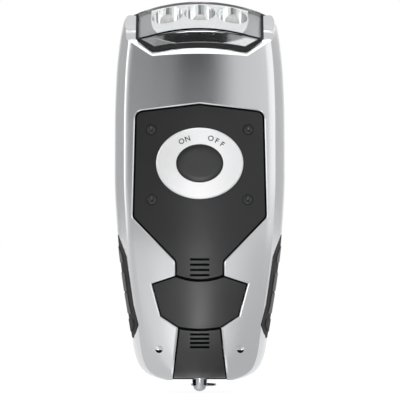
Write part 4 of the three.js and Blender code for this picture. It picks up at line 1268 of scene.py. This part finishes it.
class FLASHLIGHT_OT_grips(FlashlightOperator, bpy.types.Operator):
    """Moulds the two rubber side grips with their pads"""

    bl_idname = "flashlight.grips"
    bl_label = "Side grips"

    def execute(self, context):
        proud = in_mm(sizes().grip_proud)
        for side, name in ((-1, "left"), (1, "right")):
            outline = grip_outline(side)
            grip = skin(f"rubber_grip_{name}", outline, 0.0, GRIP_DEPTH, -FAR, GRIP_BACK)
            inner = [(x + side * PAD_INSIDE, z) for x, z in outline]
            for low, high in GRIP_PADS:
                pad = skin("pad", inner, -proud, PAD_ROOT, PAD_FRONT, PAD_BACK)
                combine(pad, prism("band", rectangle(-FAR, low, FAR, high)), "INTERSECT")
                combine(grip, pad, "UNION")
            finished(grip, black_rubber(), "black_rubber", f"side_grip_{name}")
            # The flange and the lower end get painted shade
            self.paint_flange_shade(grip)
        return {"FINISHED"}

    def paint_flange_shade(self, grip):
        """The flange between and round the pads, and the whole lower end, get painted shade, darker than the
        pads.
        """
        grip.data.materials.append(painted_shade_rubber())
        face_of = body_form(0.0)
        end = place(0, 0, GRIP_END).z
        for face in grip.data.polygons:
            _, near, _, _ = face_of.closest_point_on_mesh(face.center)
            on_flange = (near - face.center).length < TOUCHING * MM
            face.material_index = int(on_flange or face.center.z < end)


# The head: gasket and reflector by their depth under the skin, and the step down to the flange
GASKET_FRONT, GASKET_BACK = 0.9, 2.2
REFLECTOR_DEPTH, FLANGE_STEP = 1.4, 0.5
# The cups: places, foot, outer radius, and the profile of their hollows by radius and height
CUPS = [(-10.9, "left"), (0, "centre"), (10.9, "right")]
CUP_Y = -5.6
CUP_FOOT = 114.45
CUP_RADIUS = 5.5
HOLLOW = [(0, 100), (3.2, 100), (3.2, 117.2), (3.8, 118), (4.35, 119), (4.8, 120.4), (5.1, 122),
          (5.25, 123.5), (5.3, 140), (0, 140)]
# An LED: a 5 mm dome on a wider foot
LED_RADIUS, LED_SHOULDER = 2.5, 121.3
LED_FOOT = [(0, 114.3), (2.9, 114.3), (2.9, 115.3), (LED_RADIUS, 115.3)]


class FLASHLIGHT_OT_head(FlashlightOperator, bpy.types.Operator):
    """Makes the lens, its gasket, the three-cup reflector and the LEDs"""

    bl_idname = "flashlight.head"
    bl_label = "Lens, gasket, reflector and LEDs"

    def execute(self, context):
        wall = in_mm(sizes().lens_wall)
        lens = skin("clear_slanted_lens", lens_outline(), 0, wall)
        finished(lens, clear_lens(), "clear_plastic", "lens", degrees=12)

        gasket_line = grown(window_outline(), -SEAT_GAP)
        gasket = skin("window_gasket", gasket_line, GASKET_FRONT, GASKET_BACK)
        cut(gasket, prism("lens_hole", grown(lens_outline(), SEAT_GAP)))
        finished(gasket, gasket_rubber(), "black_rubber", "lens_gasket")

        self.reflector(wall + SEAT_GAP)
        for x, name in CUPS:
            led = turned(f"epoxy_led_{name}", LED_FOOT + quarter(LED_RADIUS, LED_SHOULDER), (x, CUP_Y), 40)
            finished(led, led_epoxy(), "clear_plastic", f"led_{name}")
        return {"FINISHED"}

    def reflector(self, front):
        """Three cups joined by a plateau and a lower flange, which is duller."""
        flange, back = front + FLANGE_STEP, front + REFLECTOR_DEPTH
        reflector = skin("metallised_reflector", grown(lens_outline(), -SEAT_GAP), flange, back)
        combine(reflector, skin("plateau", plateau_outline(), front, back), "UNION")
        for x, _ in CUPS:
            foot, top = (x, CUP_Y, CUP_FOOT), (x, CUP_Y, in_mm(sizes().body_length))
            cup = rod("cup", foot, top, CUP_RADIUS, 64)
            combine(cup, body_form(front), "INTERSECT", keep=True)
            combine(reflector, cup, "UNION")
        combine(reflector, prism("front_half", whole_view(), -FAR, -SEAT_GAP), "INTERSECT")
        cut(reflector, *[turned("hollow", HOLLOW, (x, CUP_Y), 34) for x, _ in CUPS])
        finished(reflector, bright_plating(), "chrome", "reflector", degrees=8)

        reflector.data.materials.append(dull_plating())
        top, ridge = body_form(front), body_form(flange)
        for face in reflector.data.polygons:
            _, on_top, _, _ = top.closest_point_on_mesh(face.center)
            _, on_ridge, _, _ = ridge.closest_point_on_mesh(face.center)
            sunk = (on_ridge - face.center).length < (on_top - face.center).length
            leans_forward = 0.5 < face.normal.z < 0.99 and face.normal.y < -0.2
            face.material_index = int(sunk and leans_forward)


def refined(node, name, width, segments=3, degrees=40):
    """A copy of a CAD node with its doubles merged and its hard edges rounded."""
    piece = copy_of(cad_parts[node], name)
    piece.parent = None
    edit(piece)
    bpy.ops.mesh.remove_doubles(threshold=2 * MERGE * MM)
    bpy.ops.mesh.dissolve_limited(angle_limit=math.radians(0.5))
    leave_edit()
    apply_modifier(piece, "BEVEL", width=width * MM, segments=segments, limit_method="ANGLE",
                   angle_limit=math.radians(degrees))
    return piece


# The arm's pocket by its middle and halves, with its corners and depth, and the groove round the hub
ARM_POCKET, POCKET_ROUND, POCKET_DEPTH = (0, 60, 4.2, 6), 2, 0.7
HUB_OUTER, HUB_INNER, HUB_DEPTH = 5.6, 4.7, 0.35
# The cross in a screw's head: half length, half width and depth
CROSS_LENGTH, CROSS_WIDTH, CROSS_DEPTH = 1.4, 0.32, 0.8


class FLASHLIGHT_OT_crank(FlashlightOperator, bpy.types.Operator):
    """Makes the crank arm and the folding knob with their rounded edges"""

    bl_idname = "flashlight.crank"
    bl_label = "Crank"

    def execute(self, context):
        arm = refined("crank_arm", "moulded_crank_arm", 0.5)
        top = far_side("crank_arm")
        pocket = rounded(bar(*ARM_POCKET), [POCKET_ROUND] * 4, 8)
        ring = rod("hub_groove", (0, top - HUB_DEPTH, CRANK_Z), (0, FAR, CRANK_Z), HUB_OUTER, 64)
        cut(ring, rod("hub_island", (0, -FAR, CRANK_Z), (0, 2 * FAR, CRANK_Z), HUB_INNER, 64))
        cut(arm, prism("pocket", pocket, top - POCKET_DEPTH, FAR), ring)
        finished(arm, polished_black(), "black_abs", "crank_arm", body="crank", degrees=30)
        knob = refined("crank_knob", "moulded_crank_knob", 0.25, 2, 60)
        finished(knob, polished_black(), "black_abs", "crank_knob", body="knob", degrees=40)
        self.screws()
        return {"FINISHED"}

    def screws(self):
        """The hub screw and the four casing screws get rounded heads with a cross recess."""
        names = [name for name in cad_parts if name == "hub_screw" or name.startswith("casing_screw")]
        for name in names:
            middle = sum(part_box(name), Vector()) / 2
            x, z = in_mm(middle.x), in_mm(middle.z - TAIL_Z)
            screw = refined(name, f"cross_{name}", 0.2, 2, 60)
            for half_x, half_z in ((CROSS_LENGTH, CROSS_WIDTH), (CROSS_WIDTH, CROSS_LENGTH)):
                slot = bar(x, z, half_x, half_z)
                cut(screw, prism("cross", slot, far_side(name) - CROSS_DEPTH, FAR))
            body = "crank" if name == "hub_screw" else "casing"
            finished(screw, drawn_steel(), "steel", name, body=body, degrees=40)


# The stud: its dome, its flange inside, and the hole across it for the ring
STUD_RADIUS, STUD_SHOULDER = 2.6, -1.5
STUD_FLANGE = [(STUD_RADIUS, 2.55), (4, 2.55), (4, 3.75), (0, 3.75)]
EYE_Z, EYE_RADIUS = -1.9, 1.25
# The ring hangs a little aside, and its wire has a share of the CAD's thickness
RING_RADIUS, RING_ASIDE, WIRE_SHARE = 3.9, 20, 0.9


class FLASHLIGHT_OT_lanyard(FlashlightOperator, bpy.types.Operator):
    """Turns the chromed lanyard stud and bends the wire ring through it"""

    bl_idname = "flashlight.lanyard"
    bl_label = "Lanyard stud and ring"

    def execute(self, context):
        dome = quarter(STUD_RADIUS, STUD_SHOULDER, -1)
        stud = turned("chromed_lanyard_stud", [*reversed(dome), *STUD_FLANGE], (0, 0), 48)
        cut(stud, rod("ring_hole", (-PAST_BODY, 0, EYE_Z), (PAST_BODY, 0, EYE_Z), EYE_RADIUS))
        finished(stud, chrome(), "chrome", "lanyard_stud")

        low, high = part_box("wire_ring")
        radius = RING_RADIUS * MM
        aside = math.radians(RING_ASIDE)
        nothing_selected()
        bpy.ops.mesh.primitive_torus_add(
            location=(radius * math.sin(aside), PARTING_Y + radius * math.cos(aside), (low.z + high.z) / 2),
            major_radius=radius, minor_radius=WIRE_SHARE * (high.z - low.z) / 2,
            major_segments=64, minor_segments=16,
        )
        ring = new_piece("bent_wire_ring")
        at_origin(ring)
        finished(ring, chrome(), "chrome", "wire_ring", body="ring", degrees=60)
        return {"FINISHED"}


class FLASHLIGHT_OT_inner_parts(FlashlightOperator, bpy.types.Operator):
    """Gives the parts inside and the crank's pins their real finishes"""

    bl_idname = "flashlight.inner_parts"
    bl_label = "Inner parts"

    def execute(self, context):
        finishes = {
            black_abs: ["switch_body", "capacitor"],
            natural_acetal: ["drive_gear", "compound_gear", "switch_plunger"],
            drawn_steel: ["gearbox_front_plate", "gearbox_rear_plate", "gear_one_axle", "gear_two_axle",
                          "rotor_shaft", "generator_can", "crank_shaft", "knob_hinge_pin", "knob_spindle"],
            turned_brass: ["rotor_pinion", "gearbox_pillar"],
            solder_mask: ["circuit_board", "led_board"],
            shrink_film: ["battery_cell"],
            ferrite: ["rotor_magnet"],
            enamelled_copper: ["generator_coil"],
        }
        for material, starts in finishes.items():
            for name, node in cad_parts.items():
                if any(name.startswith(start) for start in starts):
                    dress(node, material())
        return {"FINISHED"}


# The stage, in metres. The floor lies just under the torch, and glows where it is seen directly
FLOOR_SIZE, FLOOR_Z = 12, -0.0002
FLOOR_GLOW, FLOOR_SHARE = 1.1, 0.85
# The world's strength on dull faces, and where it is seen directly
WORLD_FILL, WORLD_WHITE = 0.5, 1.0
# Middle of the torch, which lamps and cards face
MIDDLE = Vector((0, PARTING_Y, 0.065))
# Lamps: place, size and power
LAMPS = [
    ("left_softbox", (-1.0, -0.45, 0.3), 0.7, 2.0),
    ("right_softbox", (0.9, -0.7, 0.3), 0.9, 1.7),
    ("top_softbox", (0, -0.2, 1.2), 0.8, 3.0),
    ("rear_softbox", (0.2, 0.9, 0.6), 0.8, 3.0),
]
# Card stocks: colour and glow
STOCKS = {
    "black_felt": ("#0c0c0c", 0),
    "grey_card": ("#c8c8c8", 0),
    "slate_card": ("#acacac", 0),
    "pale_card": ("#f2f2f2", 0),
    "bright_card": ("#f2f2f2", 0.13),
}
# Cards that face the torch: place, width, height and stock
CARDS = [
    ("front_card", (-0.02, -1.2, 0.5), 0.34, 1.1, "black_felt"),
    ("front_middle_card", (-0.31, -1.2, 0.5), 0.24, 1.1, "slate_card"),
    ("front_left_card", (-0.655, -1.2, 0.5), 0.45, 1.1, "grey_card"),
    ("front_right_card", (0.2, -1.2, 0.5), 0.1, 1.1, "grey_card"),
    ("left_card", (-1.0, 0.75, 0.4), 1.9, 1.4, "pale_card"),
    ("right_card", (1.0, 0.85, 0.4), 1.7, 1.4, "bright_card"),
]
# Small cards at both sides of the stud, which face across
STUD_CARDS = [
    ("left_stud_card", (-0.0055, -0.0035, 0.00225), 0.007, 0.0036, "black_felt"),
    ("right_stud_card", (0.0065, -0.0035, 0.00225), 0.007, 0.0036, "slate_card"),
]
# Lit wedges on the floor: direction and half angle in degrees, near and far end, strength, height
WEDGES = [
    ("sheen_strip", 0, 2.1, 0.1, 0.75, 20.0, -0.00005),
    ("left_glow", -10, 11, 0.004, 1.15, 1.5, -0.0001),
    ("left_middle", -26, 5, 0.004, 1.15, 1.15, -0.0001),
    ("left_shade", -47, 16, 0.004, 1.15, 0.92, -0.0001),
    ("right_glow", 9, 8, 0.004, 1.15, 1.15, -0.0001),
    ("right_middle", 20, 3, 0.004, 1.15, 0.92, -0.0001),
    ("right_shade", 42, 19, 0.004, 1.15, 0.75, -0.0001),
]
# The camera's distance, and its sensor's width in millimetres
CAMERA_DISTANCE = 2.0
SENSOR_WIDTH = 36
# What the camera sees, in millimetres: the height of its picture and the point in the middle
VIEW_HEIGHT = 136
VIEW_MIDDLE = (0.1, -8, 61.2)


def toward(direction):
    """The turn that makes a lamp or a card look in a direction."""
    return direction.to_track_quat("-Z", "Y").to_euler()


def seen_directly(tree):
    """1 for what the camera sees, also in gloss and through glass, and 0 for the light on a dull face."""
    path = add_node(tree, "ShaderNodeLightPath")
    seen = path.outputs["Is Camera Ray"]
    for ray in ("Is Glossy Ray", "Is Transmission Ray"):
        either = add_node(tree, "ShaderNodeMath", {0: seen, 1: path.outputs[ray]}, operation="MAXIMUM")
        seen = either.outputs[0]
    return seen


class FLASHLIGHT_OT_stage(FlashlightOperator, bpy.types.Operator):
    """Sets up the white floor, the soft lights and the camera straight in front"""

    bl_idname = "flashlight.stage"
    bl_label = "Stage"

    def execute(self, context):
        self.floor()
        self.world()
        for name, where, size, power in LAMPS:
            self.lamp(name, where, size, power)
        stocks = {name: self.card_stock(name, *look) for name, look in STOCKS.items()}
        for name, where, width, height, stock in CARDS:
            level = (MIDDLE - Vector(where)).to_2d().to_3d()
            self.card(name, where, toward(level), (width, height, 1), stocks[stock])
        for name, where, width, height, stock in STUD_CARDS:
            across = Vector((-where[0], 0, 0))
            self.card(name, where, toward(across), (width, height, 1), stocks[stock])
        for wedge in WEDGES:
            self.lit_wedge(*wedge)
        self.camera()
        context.scene.view_settings.view_transform = "Standard"
        return {"FINISHED"}

    def floor(self):
        nothing_selected()
        bpy.ops.mesh.primitive_plane_add(size=FLOOR_SIZE, location=(0, 0, FLOOR_Z))
        floor = new_piece("floor")
        material = bpy.data.materials.new("white_studio_floor")
        tree = empty_tree(material)
        diffuse = add_node(tree, "ShaderNodeBsdfDiffuse", values={"Color": linear("#f2f2f2")})
        glow = add_node(tree, "ShaderNodeEmission", values={"Color": (1, 1, 1, 1), "Strength": FLOOR_GLOW})
        share = add_node(tree, "ShaderNodeMath", {0: seen_directly(tree)}, {1: FLOOR_SHARE},
                         operation="MULTIPLY")
        mix = add_node(tree, "ShaderNodeMixShader", {0: share.outputs[0], 1: diffuse.outputs[0],
                                                     2: glow.outputs[0]})
        add_node(tree, "ShaderNodeOutputMaterial", {"Surface": mix.outputs[0]})
        dress(floor, material)

    def world(self):
        world = bpy.data.worlds.new("studio")
        bpy.context.scene.world = world
        tree = empty_tree(world)
        fill, white = [
            add_node(tree, "ShaderNodeBackground", values={"Color": (1, 1, 1, 1), "Strength": strength})
            for strength in (WORLD_FILL, WORLD_WHITE)
        ]
        mix = add_node(tree, "ShaderNodeMixShader", {0: seen_directly(tree), 1: fill.outputs[0],
                                                     2: white.outputs[0]})
        add_node(tree, "ShaderNodeOutputWorld", {"Surface": mix.outputs[0]})

    def linked(self, name, data):
        """A new object of the scene, for a lamp or a camera."""
        item = bpy.data.objects.new(name, data)
        bpy.context.scene.collection.objects.link(item)
        return item

    def lamp(self, name, where, size, power):
        data = bpy.data.lights.new(name, "AREA")
        data.size = size
        data.energy = power
        lamp = self.linked(name, data)
        lamp.location = where
        lamp.rotation_euler = toward(MIDDLE - Vector(where))

    def card_stock(self, name, code, glow):
        stock = bpy.data.materials.new(name)
        stock.use_nodes = True
        shader = stock.node_tree.nodes["Principled BSDF"].inputs
        shader["Base Color"].default_value = linear(code)
        shader["Roughness"].default_value = 1.0
        shader["Emission Color"].default_value = (1, 1, 1, 1)
        shader["Emission Strength"].default_value = glow
        return stock

    def card(self, name, where, turn, scale, stock):
        nothing_selected()
        bpy.ops.mesh.primitive_plane_add(size=1, location=where, rotation=turn)
        card = new_piece(name)
        card.scale = scale
        at_origin(card)
        dress(card, stock)
        self.in_gloss_alone(card)

    def lit_wedge(self, name, azimuth, spread, near, far, strength, height):
        """A lit wedge on the floor that widens away from the torch."""
        nothing_selected()
        bpy.ops.mesh.primitive_plane_add(size=1, location=(0, 0, height))
        wedge = new_piece(name)
        corners = ((far, -spread), (far, spread), (near, -spread), (near, spread))
        for vertex, (reach, turn) in zip(wedge.data.vertices, corners):
            angle = math.radians(azimuth + turn)
            vertex.co = (reach * math.sin(angle), -reach * math.cos(angle), 0)
        at_origin(wedge)
        lit = bpy.data.materials.new(name)
        tree = empty_tree(lit)
        glow = add_node(tree, "ShaderNodeEmission", values={"Color": (1, 1, 1, 1), "Strength": strength})
        add_node(tree, "ShaderNodeOutputMaterial", {"Surface": glow.outputs[0]})
        dress(wedge, lit)
        self.in_gloss_alone(wedge)

    def in_gloss_alone(self, card):
        """Hides a card from the camera. It throws no shadow and lights no dull face."""
        card.visible_camera = False
        card.visible_shadow = False
        card.visible_diffuse = False

    def camera(self):
        data = bpy.data.cameras.new("camera")
        data.sensor_width = SENSOR_WIDTH
        data.lens = SENSOR_WIDTH * CAMERA_DISTANCE / (VIEW_HEIGHT * MM)
        camera = self.linked("camera", data)
        camera.location = place(*VIEW_MIDDLE) - Vector((0, CAMERA_DISTANCE, 0))
        camera.rotation_euler = (math.radians(90), 0, 0)
        bpy.context.scene.camera = camera


class FLASHLIGHT_PT_panel(bpy.types.Panel):
    """Lists the steps that build the flashlight"""

    bl_label = "Hand Crank Flashlight"
    bl_idname = "FLASHLIGHT_PT_panel"
    bl_space_type = "VIEW_3D"
    bl_region_type = "UI"
    bl_category = "Flashlight"

    def draw(self, context):
        column = self.layout.column()
        for group in (context.scene.flashlight_sizes, context.scene.flashlight_colours):
            for name in group.__annotations__:
                column.prop(group, name)
        for step in STEPS:
            column.operator(step.bl_idname)


STEPS = (
    FLASHLIGHT_OT_stage,
    FLASHLIGHT_OT_front_casing,
    FLASHLIGHT_OT_rear_casing,
    FLASHLIGHT_OT_control_panel,
    FLASHLIGHT_OT_shield_and_strip,
    FLASHLIGHT_OT_button,
    FLASHLIGHT_OT_grips,
    FLASHLIGHT_OT_head,
    FLASHLIGHT_OT_crank,
    FLASHLIGHT_OT_lanyard,
    FLASHLIGHT_OT_inner_parts,
)
CLASSES = (FlashlightSizes, FlashlightColours, *STEPS, FLASHLIGHT_PT_panel)


def register():
    for item in CLASSES:
        bpy.utils.register_class(item)
    bpy.types.Scene.flashlight_sizes = bpy.props.PointerProperty(type=FlashlightSizes)
    bpy.types.Scene.flashlight_colours = bpy.props.PointerProperty(type=FlashlightColours)


def unregister():
    del bpy.types.Scene.flashlight_colours
    del bpy.types.Scene.flashlight_sizes
    for item in reversed(CLASSES):
        bpy.utils.unregister_class(item)


def main():
    register()
    for step in STEPS:
        group, name = step.bl_idname.split(".")
        getattr(getattr(bpy.ops, group), name)()
    for form in forms.values():
        bpy.data.objects.remove(form, do_unlink=True)


if __name__ == "__main__":
    main()
